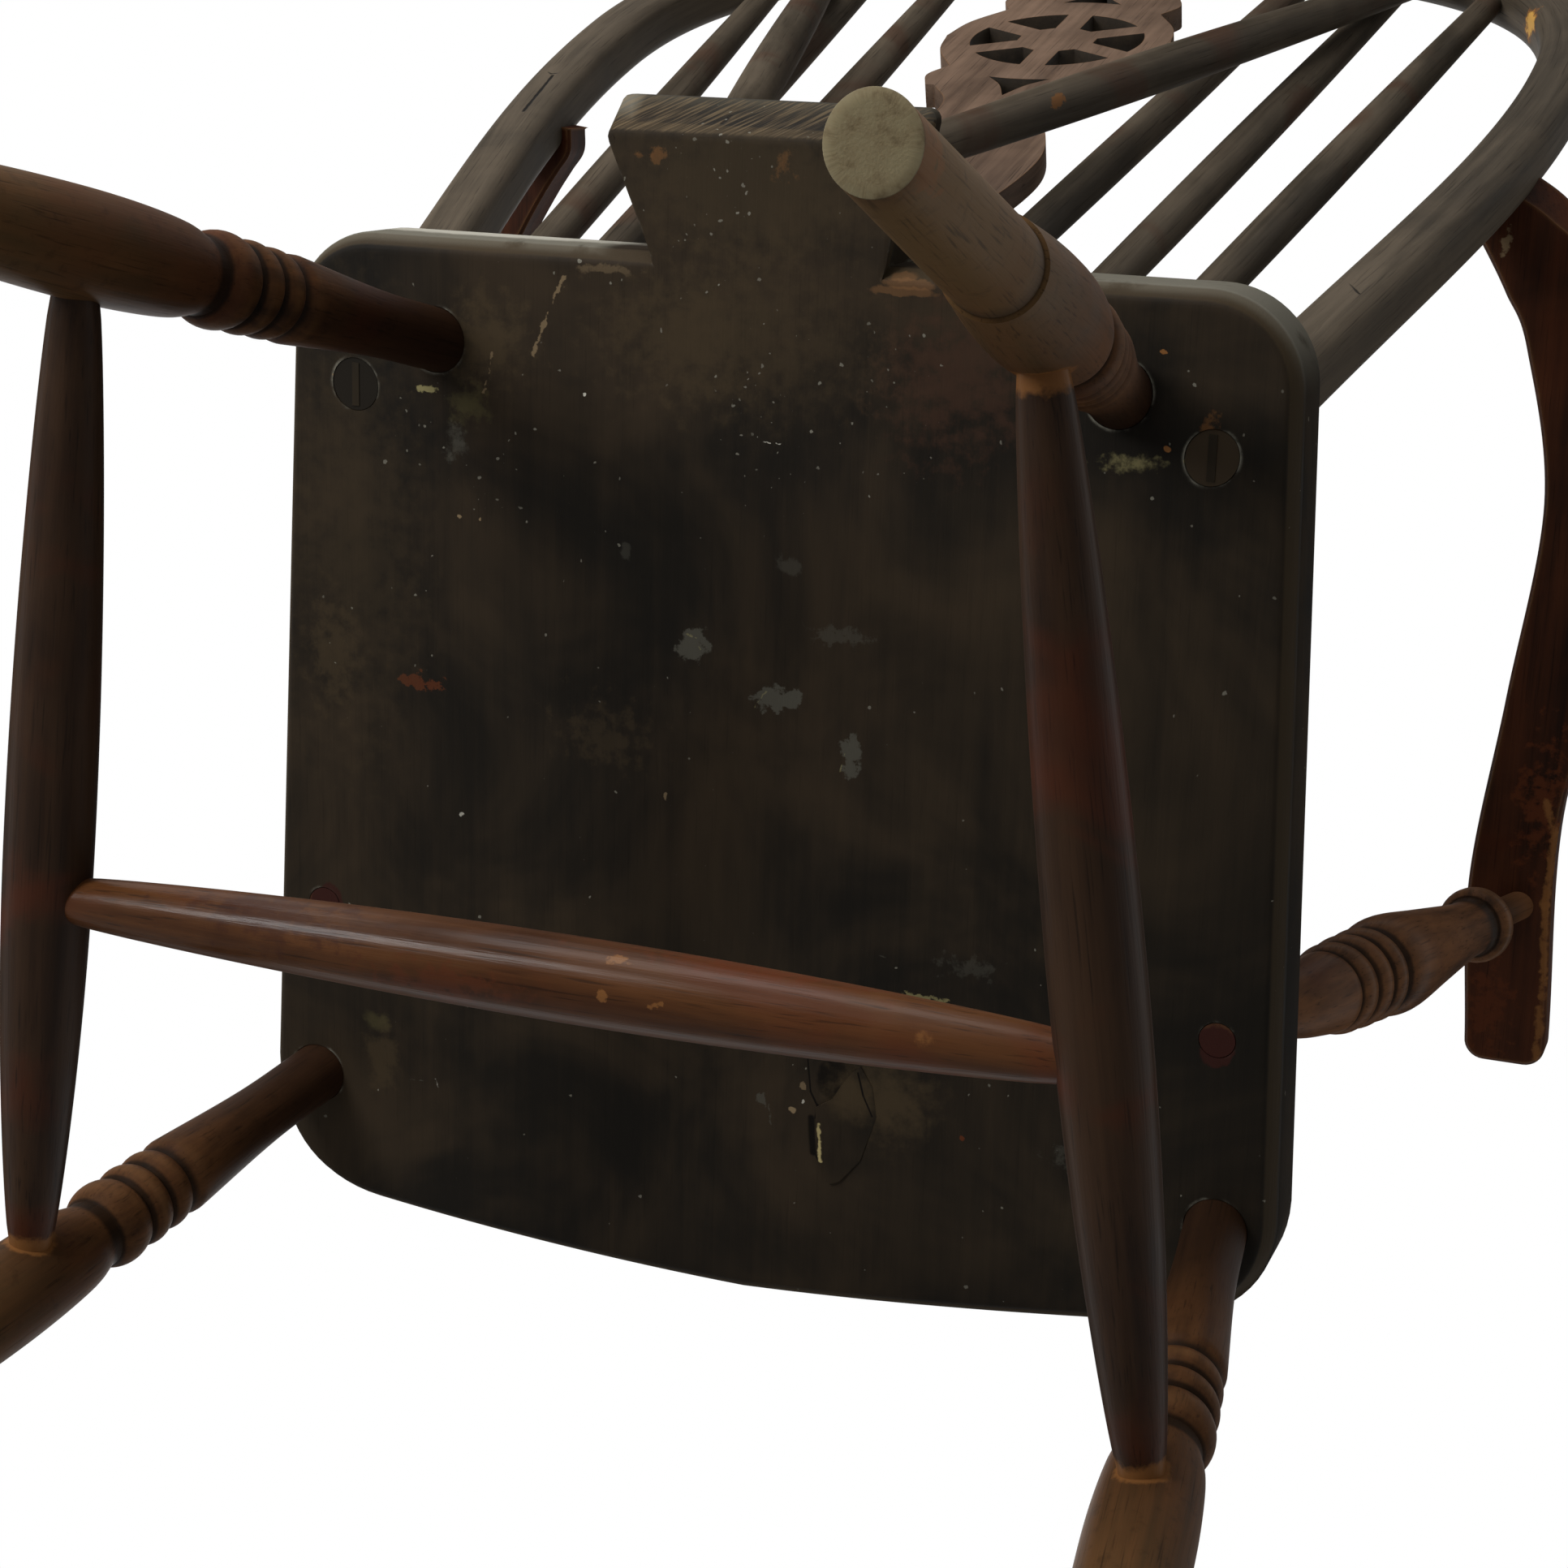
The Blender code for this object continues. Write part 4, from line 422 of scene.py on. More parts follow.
# Camera solved from the photograph, in the frame's coordinates
CAMERA_PLACE = (-0.3884, 0.2269, -0.5604)
CAMERA_RIGHT = (-0.9374, 0.0345, 0.3464)
CAMERA_DOWN = (-0.1234, -0.9634, -0.2379)
CAMERA_AHEAD = (0.3256, -0.2658, 0.9074)
CAMERA_LENS = 65.84
CAMERA_SHIFT = (-0.0373, 0.0095)
CAMERA_SENSOR = 36.0
CAMERA_CLIP = 0.01


def length_property(name, description, default):
    return FloatProperty(name=name, description=description, default=default, min=0.0, unit="LENGTH", precision=4)


def colour_property(name, description, default):
    return FloatVectorProperty(name=name, description=description, default=default, subtype="COLOR", size=3,
                               min=0.0, max=1.0)


def power_property(name, description, default):
    return FloatProperty(name=name, description=description, default=default, min=0.0, unit="POWER")


class ArmchairTurning(bpy.types.PropertyGroup):
    """Radii of the turned pieces."""
    leg_neck: length_property("Leg neck", "Radius of a leg where it enters the seat", 0.0120)
    leg_groove: length_property("Leg groove", "Radius between the beads of a leg", 0.0136)
    leg_foot: length_property("Leg foot", "Radius of a leg at the floor", 0.0109)
    foot_chamfer: length_property("Foot chamfer", "Eased edge of a foot", 0.0026)
    post_groove: length_property("Post groove", "Radius between the rings of an arm post", 0.0157)
    post_collar: length_property("Post collar", "Radius of the collar under an arm", 0.0164)
    post_tenon: length_property("Post tenon", "Radius of an arm post in the seat and in the arm", 0.0065)
    side_belly: length_property("Side belly", "Fullest radius of a side stretcher", 0.0153)
    side_tenon: length_property("Side tenon", "Radius of a side stretcher in the legs", 0.0076)
    cross_belly: length_property("Cross belly", "Fullest radius of the cross stretcher", 0.0143)
    cross_tenon: length_property("Cross tenon", "Radius of the cross stretcher in the side ones", 0.0082)
    spindle_foot: length_property("Spindle foot", "Radius of a spindle at the seat", 0.0074)
    spindle_belly: length_property("Spindle belly", "Fullest radius of a spindle", 0.0083)
    spindle_head: length_property("Spindle head", "Radius of a spindle at the bow", 0.0063)
    brace_foot: length_property("Brace foot", "Radius of a brace at the tail", 0.0073)
    brace_belly: length_property("Brace belly", "Fullest radius of a brace", 0.0092)
    brace_head: length_property("Brace head", "Radius of a brace at the bow", 0.0065)


class ArmchairBoards(bpy.types.PropertyGroup):
    """Sizes of the sawn and bent pieces."""
    arris: length_property("Arris", "Rubbed width of a sawn edge", 0.0011)
    dish_depth: length_property("Dish depth", "Depth of the bowl in the seat", 0.007)
    bow_width: length_property("Bow width", "Side of the bow's section", 0.0256)
    bow_edge: length_property("Bow edge", "Rounding of the bow's arrises", 0.0077)
    splat_thickness: length_property("Splat thickness", "Thickness of the pierced splat", 0.011)
    wheel_hole: length_property("Wheel hole", "Radius to the outside of the wheel's openings", 0.041)
    wheel_spoke: length_property("Wheel spoke", "Width of a spoke of the wheel", 0.012)
    arm_top_round: length_property("Arm top", "Rounding of an arm's upper edge", 0.005)
    arm_under_round: length_property("Arm underside", "Rounding of an arm's lower edge", 0.0015)


class ArmchairFinish(bpy.types.PropertyGroup):
    """Colours of the old stain, dirt and bare wood; the rim, foot and grime colours also carry painted sheen and
    shade.
    """
    seat_dark: colour_property("Seat dark", "Stain under the seat", (0.0075, 0.0062, 0.0046))
    seat_light: colour_property("Seat light", "Thin stain under the seat", (0.027, 0.0185, 0.0108))
    turned_dark: colour_property("Leg dark", "Thick stain of the legs", (0.0125, 0.0062, 0.0036))
    turned_light: colour_property("Leg light", "Thin stain of the legs", (0.092, 0.039, 0.0145))
    turned_red: colour_property("Leg red", "Red places on the legs", (0.050, 0.016, 0.007))
    post_dark: colour_property("Post dark", "Thick stain of the arm posts", (0.023, 0.0115, 0.0068))
    post_light: colour_property("Post light", "Thin stain of the arm posts", (0.165, 0.072, 0.030))
    post_red: colour_property("Post red", "Red places on the arm posts", (0.060, 0.020, 0.009))
    # Paler stain low on the legs: partly scuffing, partly painted sheen and light on the lower legs
    foot_fade_and_sheen: colour_property("Foot fade", "Scuffed stain low on the legs", (0.150, 0.088, 0.034))
    cross_dark: colour_property("Cross dark", "Varnish of the cross stretcher", (0.026, 0.0090, 0.0036))
    cross_light: colour_property("Cross light", "Thin varnish of the cross stretcher", (0.088, 0.034, 0.0115))
    cross_red: colour_property("Cross red", "Red places on the cross stretcher", (0.075, 0.022, 0.008))
    side_dark: colour_property("Side dark", "Stain of the side stretchers", (0.012, 0.0065, 0.0042))
    side_light: colour_property("Side light", "Thin stain of the side stretchers", (0.036, 0.0185, 0.0095))
    side_red: colour_property("Side red", "Red places on the side stretchers", (0.050, 0.014, 0.006))
    back_dark: colour_property("Back dark", "Stain of bow and sticks", (0.023, 0.0180, 0.0120))
    back_light: colour_property("Back light", "Faded stain of bow and sticks", (0.088, 0.069, 0.049))
    stick_red: colour_property("Stick red", "Red places on the sticks", (0.050, 0.026, 0.016))
    splat_dark: colour_property("Splat dark", "Stain of the splat", (0.056, 0.036, 0.025))
    splat_light: colour_property("Splat light", "Faded stain of the splat", (0.165, 0.108, 0.075))
    arm_dark: colour_property("Arm dark", "Stain of the arms", (0.0065, 0.0045, 0.0035))
    arm_light: colour_property("Arm light", "Thin red stain of the arms", (0.056, 0.0175, 0.0072))
    arm_red: colour_property("Arm red", "Red places on the arms", (0.038, 0.010, 0.004))
    bare: colour_property("Bare wood", "Wood rubbed through its stain", (0.150, 0.074, 0.030))
    # Near black: dirt in pores, hollows and cracks, and painted shadow in the wide split by the splinter
    grime: colour_property("Grime", "Dirt in hollows, cracks and sockets", (0.004, 0.003, 0.002))
    bloom: colour_property("Bloom", "Pale bloom of dust and old polish", (0.190, 0.180, 0.145))
    chalk: colour_property("Chalk", "White drips", (0.420, 0.400, 0.340))
    straw: colour_property("Straw", "Old glue", (0.230, 0.200, 0.090))
    tan: colour_property("Tan", "Scraped wood", (0.190, 0.135, 0.075))
    ash: colour_property("Ash", "Grey spills", (0.060, 0.057, 0.045))
    olive: colour_property("Olive", "Thin stain with a green cast", (0.050, 0.042, 0.018))
    umber: colour_property("Umber", "Thin brown stain", (0.042, 0.029, 0.015))
    russet: colour_property("Russet", "Thin red-brown stain", (0.042, 0.020, 0.012))
    rust: colour_property("Rust", "Red stain", (0.078, 0.021, 0.0075))
    orange: colour_property("Orange", "Fresh scrapes", (0.170, 0.072, 0.022))
    plum: colour_property("Plum", "End grain of through tenons", (0.026, 0.008, 0.006))
    raw: colour_property("Raw", "Torn wood under the splinter", (0.330, 0.270, 0.125))
    fresh: colour_property("Fresh", "Newly torn wood", (0.500, 0.280, 0.065))
    # The rim's pale colour is partly dust, partly a painted sheen
    rim_dust_and_sheen: colour_property("Rim bloom", "Dusty bloom of the seat's rear rim", (0.125, 0.116, 0.092))
    foot_end: colour_property("Foot end", "End grain under the feet", (0.270, 0.232, 0.145))


class ArmchairStage(bpy.types.PropertyGroup):
    """Lamps and floor."""
    key_power: power_property("Key power", "Soft lamp behind the chair", 22.0)
    strip_power: power_property("Strip power", "Low strip lamp that lights along the stretchers", 10.0)
    top_power: power_property("Top power", "Soft lamp over the chair", 30.0)
    sky: FloatProperty(name="Sky", description="Even light from all round", default=0.24, min=0.0)
    floor_glow: FloatProperty(name="Floor glow", description="White that the camera sees in the floor under the chair",
                              default=0.40, min=0.0, max=1.0, subtype="FACTOR")
    floor_colour: colour_property("Floor", "Plain pale floor", (0.80, 0.80, 0.79))


def spline(points, steps):
    """Points of a smooth curve through the given ones, ends included."""
    knots = [Vector(point) for point in points]
    knots = [2 * knots[0] - knots[1]] + knots + [2 * knots[-1] - knots[-2]]
    curve = []
    for before, start, end, after in zip(knots, knots[1:], knots[2:], knots[3:]):
        first = start + (end - before) / 6.0
        second = end - (after - start) / 6.0
        curve += interpolate_bezier(start, first, second, end, steps + 1)[:-1]
    return [Vector(point[:len(points[0])]) for point in curve] + [Vector(points[-1])]


def arc(centre, radius, start, end, steps):
    """Points of an arc in the plane, angles in degrees."""
    angles = [math.radians(start + (end - start) * i / steps) for i in range(steps + 1)]
    return [Vector((centre[0] + radius * math.cos(a), centre[1] + radius * math.sin(a))) for a in angles]


def circle(radius, sides):
    return arc((0.0, 0.0), radius, 0.0, 360.0, sides)[:-1]


def mirrored(point):
    return point and Vector((-point.x, point.y))


def inset(outline, distances):
    """Move each point of a counterclockwise outline inwards by its own distance."""
    moved = []
    for i, point in enumerate(outline):
        before = (point - outline[i - 1]).normalized()
        after = (outline[(i + 1) % len(outline)] - point).normalized()
        inward = Vector((-before.y - after.y, before.x + after.x)).normalized()
        corner = max(LEAST_MITRE, inward.dot(Vector((-after.y, after.x))))
        moved.append(point + inward * (distances[i] / corner))
    return moved


def level(outline, heights):
    return [Vector((point.x, point.y, z)) for point, z in zip(outline, heights)]


def new_piece():
    """An empty mesh with the grain's coordinates and the height of crests on its vertices."""
    bm = bmesh.new()
    return bm, bm.verts.layers.float_vector.new("grain"), bm.verts.layers.float.new("rub")


def add_ring(bm, points):
    verts = [bm.verts.new(point) for point in points]
    return [bm.edges.new(pair) for pair in zip(verts, verts[1:] + verts[:1])]


def skin(bm, rings, caps=(True, True)):
    """Bridge a row of rings into a shell, and close the ends that are asked for."""
    loops = [add_ring(bm, ring) for ring in rings]
    for low, high in zip(loops, loops[1:]):
        bmesh.ops.bridge_loops(bm, edges=low + high)
    for loop, closed in ((loops[0], caps[0]), (loops[-1], caps[1])):
        if closed:
            bmesh.ops.edgeloop_fill(bm, edges=loop)
    return loops


def soften(bm, edges, width):
    bmesh.ops.bevel(bm, geom=edges, offset=width, offset_type="OFFSET", affect="EDGES", segments=SOFT_SEGMENTS,
                    profile=0.5, material=-1, clamp_overlap=True)


def soften_turns(bm, loops, width):
    """Soften the loops of a shell wherever it turns a corner there."""
    bmesh.ops.recalc_face_normals(bm, faces=bm.faces)
    soften(bm, [edge for loop in loops for edge in loop if edge.calc_face_angle() > FLAT_ANGLE], width)


def lay_grain(bm, grain, shift=0.0):
    """Let the grain of a board run along its depth, or up the splat."""
    for vert in bm.verts:
        vert[grain] = (vert.co.y + shift, vert.co.x, vert.co.z)


def put(name, data):
    """Link a new object with the given data to the scene."""
    item = bpy.data.objects.new(name, data)
    bpy.context.scene.collection.objects.link(item)
    return item


def mesh_of(name, bm, materials):
    mesh = bpy.data.meshes.new(name)
    bm.to_mesh(mesh)
    bm.free()
    for material in materials:
        mesh.materials.append(material)
    return mesh


def finish_piece(name, bm, materials, nodes=()):
    """Make the object of a finished mesh, and let it stand for its CAD nodes."""
    bmesh.ops.remove_doubles(bm, verts=bm.verts, dist=DOUBLE)
    bmesh.ops.recalc_face_normals(bm, faces=bm.faces)
    mesh = mesh_of(name, bm, materials)
    mesh.shade_smooth()
    mesh.set_sharp_from_angle(angle=SHARP_ANGLE)
    piece = put(name, mesh)
    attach(piece, "root")
    if nodes:
        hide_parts(*nodes)


def axis_of(node, sawn_level=False):
    """The two end middles of a CAD turning, lower or rear or left one first."""
    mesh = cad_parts[node].data
    points = np.unique(np.round([vert.co for vert in mesh.vertices], AXIS_DECIMALS), axis=0)
    direction = np.linalg.svd(points - points.mean(0), full_matrices=False)[2][0]
    direction *= np.sign(direction[np.argmax(np.abs(direction))])
    for _ in range(AXIS_ROUNDS):
        reach = points @ direction
        low = points[reach < reach.min() + AXIS_SLICE].mean(0)
        high = points[reach > reach.max() - AXIS_SLICE].mean(0)
        if sawn_level:
            low = points[points[:, 2] < points[:, 2].min() + LEVEL_SLICE].mean(0)
        direction = (high - low) / np.linalg.norm(high - low)
    return Vector(low), Vector(high)


def at_height(axis, height):
    start, end = axis
    return start + (end - start) * ((height - start.z) / (end.z - start.z))


def crest_lifts(profile):
    """How far each point of a profile stands out from the run of the turning about it."""
    along = np.array([point[0] for point in profile])
    radius = np.array([point[1] for point in profile])
    grid = np.linspace(along[0], along[-1], CREST_SAMPLES)
    even = np.interp(grid, along, radius)
    window = max(3, int(len(grid) * CREST_REACH / (along[-1] - along[0])))
    run = np.convolve(np.pad(even, window, mode="edge"), np.ones(2 * window + 1) / (2 * window + 1), "valid")
    return [float(np.clip((r - np.interp(a, grid, run)) / CREST_LIFT, -1.0, 1.0)) for a, r in profile]


def spin_turning(start, end, profile, seed):
    """Spin a profile of (distance, radius) about the line from start to end, closed at both ends."""
    bm, grain, rub = new_piece()
    outline = [(profile[0][0], 0.0)] + list(profile) + [(profile[-1][0], 0.0)]
    verts = [bm.verts.new((radius, 0.0, along)) for along, radius in outline]
    lifts = crest_lifts(profile)
    for vert, lift in zip(verts, lifts[:1] + lifts + lifts[-1:]):
        vert[rub] = lift
    edges = [bm.edges.new(pair) for pair in zip(verts, verts[1:])]
    bmesh.ops.spin(bm, geom=verts + edges, cent=(0.0, 0.0, 0.0), axis=UP, dvec=(0.0, 0.0, 0.0),
                   angle=2.0 * math.pi, steps=TURN_SIDES, use_merge=True)
    bmesh.ops.remove_doubles(bm, verts=bm.verts, dist=DOUBLE)
    for vert in bm.verts:
        vert[grain] = (vert.co.z + seed, vert.co.x, vert.co.y)
    turn = UP.rotation_difference(end - start).to_matrix().to_4x4()
    bmesh.ops.transform(bm, matrix=Matrix.Translation(start) @ turn, verts=bm.verts)
    return bm


def saw_level(bm, height, chamfer):
    """Saw the lower end of a turning off level, close it and ease its edge."""
    bmesh.ops.bisect_plane(bm, geom=bm.verts[:] + bm.edges[:] + bm.faces[:], plane_co=(0.0, 0.0, height),
                           plane_no=UP, clear_inner=True)
    bmesh.ops.remove_doubles(bm, verts=bm.verts, dist=DOUBLE)
    rim = [edge for edge in bm.edges if edge.is_boundary]
    bmesh.ops.edgeloop_fill(bm, edges=rim)
    if chamfer:
        soften(bm, rim, chamfer)
        caps = [face for face in bm.faces
                if len(face.verts) > TURN_SIDES // 2 and face.calc_center_median().z < height + DOUBLE]
        bmesh.ops.inset_region(bm, faces=caps, thickness=chamfer)


def run_on(start, runs):
    """Ends of stretches laid one after another, each a (length, radius at its end), as (distance, radius)."""
    ends = []
    for length, radius in runs:
        start += length
        ends.append((start, radius))
    return ends


def stretches(start, radius, runs):
    """Turned stretches joined by one smooth curve."""
    return [tuple(point) for point in spline([(start, radius)] + run_on(start, runs), CURVE_STEPS)]


def beads(start, runs, valley):
    """Half-round rings side by side, each a (length, crest radius)."""
    points = []
    for length, crest in runs:
        for i in range(1, BEAD_STEPS + 1):
            share = i / BEAD_STEPS
            rise = max(0.0, math.sin(math.pi * share)) ** BEAD_FULLNESS
            points.append((start + length * share, valley + (crest - valley) * rise))
        start += length
    return points


def swelling(start, end, radii, belly_share, fullness):
    """A long turned swelling: radii at its start, belly and end."""
    low, belly, high = radii
    points = []
    for i in range(SWELLING_STEPS + 1):
        share = i / SWELLING_STEPS
        if share < belly_share:
            radius = low + (belly - low) * math.sin(0.5 * math.pi * share / belly_share) ** fullness
        else:
            side = (1.0 - share) / (1.0 - belly_share)
            radius = high + (belly - high) * math.sin(0.5 * math.pi * max(0.0, side)) ** fullness
        points.append((start + (end - start) * share, radius))
    return points


def leg_profile(sizes, length):
    neck = [(-LEG_TENON, sizes.leg_neck)] + stretches(0.0, sizes.leg_neck, LEG_NECK)
    lip = run_on(neck[-1][0], LEG_LIP)
    rings = beads(lip[-1][0], LEG_BEADS, sizes.leg_groove)
    valley = rings[-1][0] + LEG_VALLEY
    bulb = stretches(valley, sizes.leg_groove, LEG_BULB)
    step = bulb[-1][0] + LEG_STEP
    shin_radius = bulb[-1][1] - LEG_STEP
    shin = stretches(step + LEG_SHIN, shin_radius, ((length - step - LEG_SHIN, sizes.leg_foot),))
    return neck + lip + rings + bulb + [(step, shin_radius)] + shin + [(length + 2.0 * sizes.leg_foot, sizes.leg_foot)]


def post_profile(sizes, length, seat_run, arm_depth):
    shaft = [(-POST_OVERRUN, sizes.post_tenon)] + stretches(seat_run, sizes.post_tenon, POST_NECK)
    groove = shaft[-1][0] + POST_GROOVE_LENGTH
    rings = beads(groove, POST_RINGS, sizes.post_groove)
    collar = length - POST_COLLAR_FROM_ARM
    taper = collar - POST_FLARE[0] - rings[-1][0] - sum(run[0] for run in POST_VASE)
    runs = POST_VASE + ((POST_TAPER_SHARE * taper, POST_TAPER_RADIUS),
                        ((1.0 - POST_TAPER_SHARE) * taper, POST_WAIST_RADIUS), POST_FLARE)
    vase = stretches(rings[-1][0], sizes.post_groove, runs)
    flare = vase[-1][1]
    ring = [(collar + POST_COLLAR_LENGTH * share, flare + (sizes.post_collar - flare) * rise)
            for share, rise in POST_COLLAR_SHAPE]
    throat = collar + POST_COLLAR_LENGTH
    neck = [(throat, POST_THROAT[1]), (throat + POST_THROAT[0], sizes.post_tenon),
            (length + arm_depth, sizes.post_tenon)]
    return shaft + [(groove, sizes.post_groove)] + rings + vase[1:] + ring + neck


def skewed(point):
    """A point of the seat as far off the drawing as the maker's saw went, in the frame."""
    tail_share = max(0.0, point.y - REAR_Y) / TAIL_LENGTH
    front_share = max(0.0, CORNER_Y - point.y) / (CORNER_Y - FRONT_Y)
    skew = Vector((TAIL_SKEW * tail_share, FRONT_SKEW * front_share * max(0.0, -point.x) / FRONT_HALF))
    return point + skew + SHIFT.to_2d()


def seat_outline():
    """The seat's rim seen from above, counterclockwise, its underside's edge and the heights of its arris."""
    low, high = SEAT_LOW.z + CHAMFER_RISE, SEAT_HIGH.z - TAIL_EDGE
    front = []
    for i in range(2 * CURVE_STEPS + 1):
        share = i / (2 * CURVE_STEPS)
        front.append(Vector((FRONT_HALF * share, FRONT_Y + FRONT_CURVE * share ** 2)))
    start, end = front[-1], Vector((HALF_WIDTH, CORNER_Y))
    reach = CORNER_FULLNESS * (end.x - start.x)
    first = start + Vector((reach, reach * 2.0 * FRONT_CURVE / FRONT_HALF))
    second = end - Vector((0.0, CORNER_FULLNESS * (end.y - start.y)))
    corner = [point.to_2d() for point in interpolate_bezier(start, first, second, end, 2 * CURVE_STEPS)[1:]]
    rear_half = HALF_WIDTH - REAR_TAPER
    rear = arc((rear_half - REAR_RADIUS, REAR_Y - REAR_RADIUS), REAR_RADIUS, 0.0, 90.0, 2 * CURVE_STEPS)
    side = [corner[-1].lerp(rear[0], i / CURVE_STEPS) for i in range(1, CURVE_STEPS)]
    base, tip = Vector((TAIL_BASE_HALF, REAR_Y)), Vector((TAIL_END_HALF, DRAWN_TAIL_END))
    back = [rear[-1].lerp(base, i / CURVE_STEPS) for i in range(1, CURVE_STEPS)]
    half = [(point, None, low) for point in front + corner + side + rear + back]
    slide = (base - tip) * (TAIL_BEVEL_IN / TAIL_LENGTH)
    under_base = base - Vector((0.0, CHAMFER_IN))
    low_corner = tip - Vector((TAIL_CORNER * TAIL_CORNER_SLANT, TAIL_CORNER))
    high_corner = tip - Vector((TAIL_CORNER, 0.0))
    for i in range(CURVE_STEPS):
        share = i / CURVE_STEPS
        half.append((base.lerp(low_corner, share), under_base.lerp(low_corner + slide, share),
                     low + (high - low) * share))
    rounded = interpolate_bezier(low_corner, low_corner.lerp(tip, TAIL_CORNER_FULLNESS),
                                 high_corner.lerp(tip, TAIL_CORNER_FULLNESS), high_corner, TAIL_CORNER_POINTS)
    half += [(point.to_2d(), point.to_2d() + slide, high) for point in rounded]
    end_middle = Vector((0.0, tip.y))
    under_middle = Vector((0.0, tip.y + slide.y))
    for i in range(1, CURVE_STEPS):
        share = i / CURVE_STEPS
        half.append((high_corner.lerp(end_middle, share), (high_corner + slide).lerp(under_middle, share), high))
    rim = half + [(end_middle, under_middle, high)]
    rim += [(mirrored(point), mirrored(under), height) for point, under, height in reversed(half[1:])]
    outline = [skewed(point) for point, under, height in rim]
    chamfered = inset(outline, [CHAMFER_IN] * len(outline))
    edge = [skewed(under) if under else place for (point, under, height), place in zip(rim, chamfered)]
    return outline, edge, [height for point, under, height in rim]


def level_rings(axis, radius, heights):
    """Level rings of a round tenon or socket about a leaning axis, one at each height."""
    start, end = axis
    turn = UP.rotation_difference(end - start)
    slope = (end - start) / (end.z - start.z)
    rings = []
    for height in heights:
        places = [at_height(axis, height) + turn @ point.to_3d() for point in circle(radius, HOLE_SIDES)]
        rings.append([place + slope * (height - place.z) for place in places])
    return rings


def bow_point(half, rise):
    return Vector((half, BOW_FOOT[1] + BOW_RAKE * rise, SEAT_LOW.z + rise)) + SHIFT


def bow_half():
    """Half of the bow's middle line as (half width, rise), from the foot to the crown."""
    foot = Vector((BOW_FOOT[0], 0.0))
    lean = Vector((BOW_FLARE, 1.0)).normalized()
    widest = Vector((BOW_WIDEST_HALF, BOW_WIDEST_RISE))
    crown = Vector((0.0, BOW_WIDEST_RISE + BOW_CROWN_RISE))
    from_foot, to_widest, from_widest, to_crown = BOW_FULLNESS
    lower = interpolate_bezier(foot, foot + lean * (from_foot * BOW_WIDEST_RISE),
                               widest - Vector((0.0, to_widest * BOW_WIDEST_RISE)), widest, BOW_STEPS)
    upper = interpolate_bezier(widest, widest + Vector((0.0, from_widest * BOW_CROWN_RISE)),
                               crown + Vector((to_crown * BOW_WIDEST_HALF, 0.0)), crown, BOW_STEPS)
    return [point.to_2d() for point in lower + upper[1:]]


def bow_foot_axis(side):
    foot = bow_point(side * BOW_FOOT[0], 0.0)
    return foot, foot + Vector((side * BOW_FLARE, BOW_RAKE, 1.0)) * BOW_FOOT_RUN


def splat_ends():
    """The splat's foot on the seat and the bow's crown over it."""
    return Vector((0.0, SPLAT_FOOT_Y, SEAT_HIGH.z)) + SHIFT, bow_point(0.0, BOW_WIDEST_RISE + BOW_CROWN_RISE)


def splat_matrix():
    """Places the splat: x across, y up the board from the seat, z towards the rear."""
    foot, crown = splat_ends()
    upward = (crown - foot).normalized()
    across = Vector((1.0, 0.0, 0.0))
    matrix = Matrix((across, upward, across.cross(upward))).transposed().to_4x4()
    matrix.translation = foot
    return matrix


def splat_scale():
    """How much the template is enlarged to reach from the seat to the bow."""
    foot, crown = splat_ends()
    return ((crown - foot).length - SPLAT_CLEAR - SPLAT_HEAD_BURIED) / SPLAT_HEAD[-1][1]


def splat_edge():
    """Right half of the fretted outline, from the tenon in the seat to the head in the bow."""
    below = spline(SPLAT_COVE, CURVE_STEPS)[1:] + spline(SPLAT_BUMP, CURVE_STEPS) + spline(SPLAT_RIM, CURVE_STEPS)[1:]
    above = [Vector((point.x, 2.0 * SPLAT_HUB - point.y)) for point in reversed(below[:-1])]
    body = spline(SPLAT_STEM, CURVE_STEPS) + below + above + spline(SPLAT_HEAD, CURVE_STEPS)
    body = [point * splat_scale() for point in body]
    return [Vector((body[0].x, -SPLAT_TENON))] + body + [Vector((body[-1].x, body[-1].y + SPLAT_HEAD_BURIED))]


def wheel_hole(boards, number):
    """One opening of the wheel between two spokes, with a flat toward the hub."""
    half_turn = math.pi / WHEEL_HOLES
    reach = math.degrees(half_turn - math.asin(0.5 * boards.wheel_spoke / boards.wheel_hole))
    rim = arc((0.0, 0.0), boards.wheel_hole, -reach, reach, 2 * CURVE_STEPS)
    flat = WHEEL_HUB * math.tan(half_turn) - 0.5 * boards.wheel_spoke / math.cos(half_turn)
    points = rim + [Vector((WHEEL_HUB, flat)), Vector((WHEEL_HUB, -flat))]
    turn = Matrix.Rotation(2.0 * half_turn * number, 2)
    return [((turn @ point) + Vector((0.0, SPLAT_HUB))) * splat_scale() for point in points]


def spandrel(up):
    """The three-sided opening under the wheel, or over it, with hollow sides."""
    reach = math.degrees(math.atan2(SPANDREL_HALF, SPANDREL_DROP))
    top = arc((0.0, 0.0), math.hypot(SPANDREL_DROP, SPANDREL_HALF), 90.0 - reach, 90.0 + reach, CURVE_STEPS)
    hollow = (-SPANDREL_HOLLOW * SPANDREL_HALF, SPANDREL_DROP + SPANDREL_HOLLOW * SPANDREL_HEIGHT)
    left = spline(((-SPANDREL_HALF, SPANDREL_DROP), hollow, (0.0, SPANDREL_DROP + SPANDREL_HEIGHT)), CURVE_STEPS)
    points = top[1:-1] + left + [mirrored(point) for point in reversed(left[:-1])]
    return [Vector((point.x, SPLAT_HUB + up * point.y)) * splat_scale() for point in points]


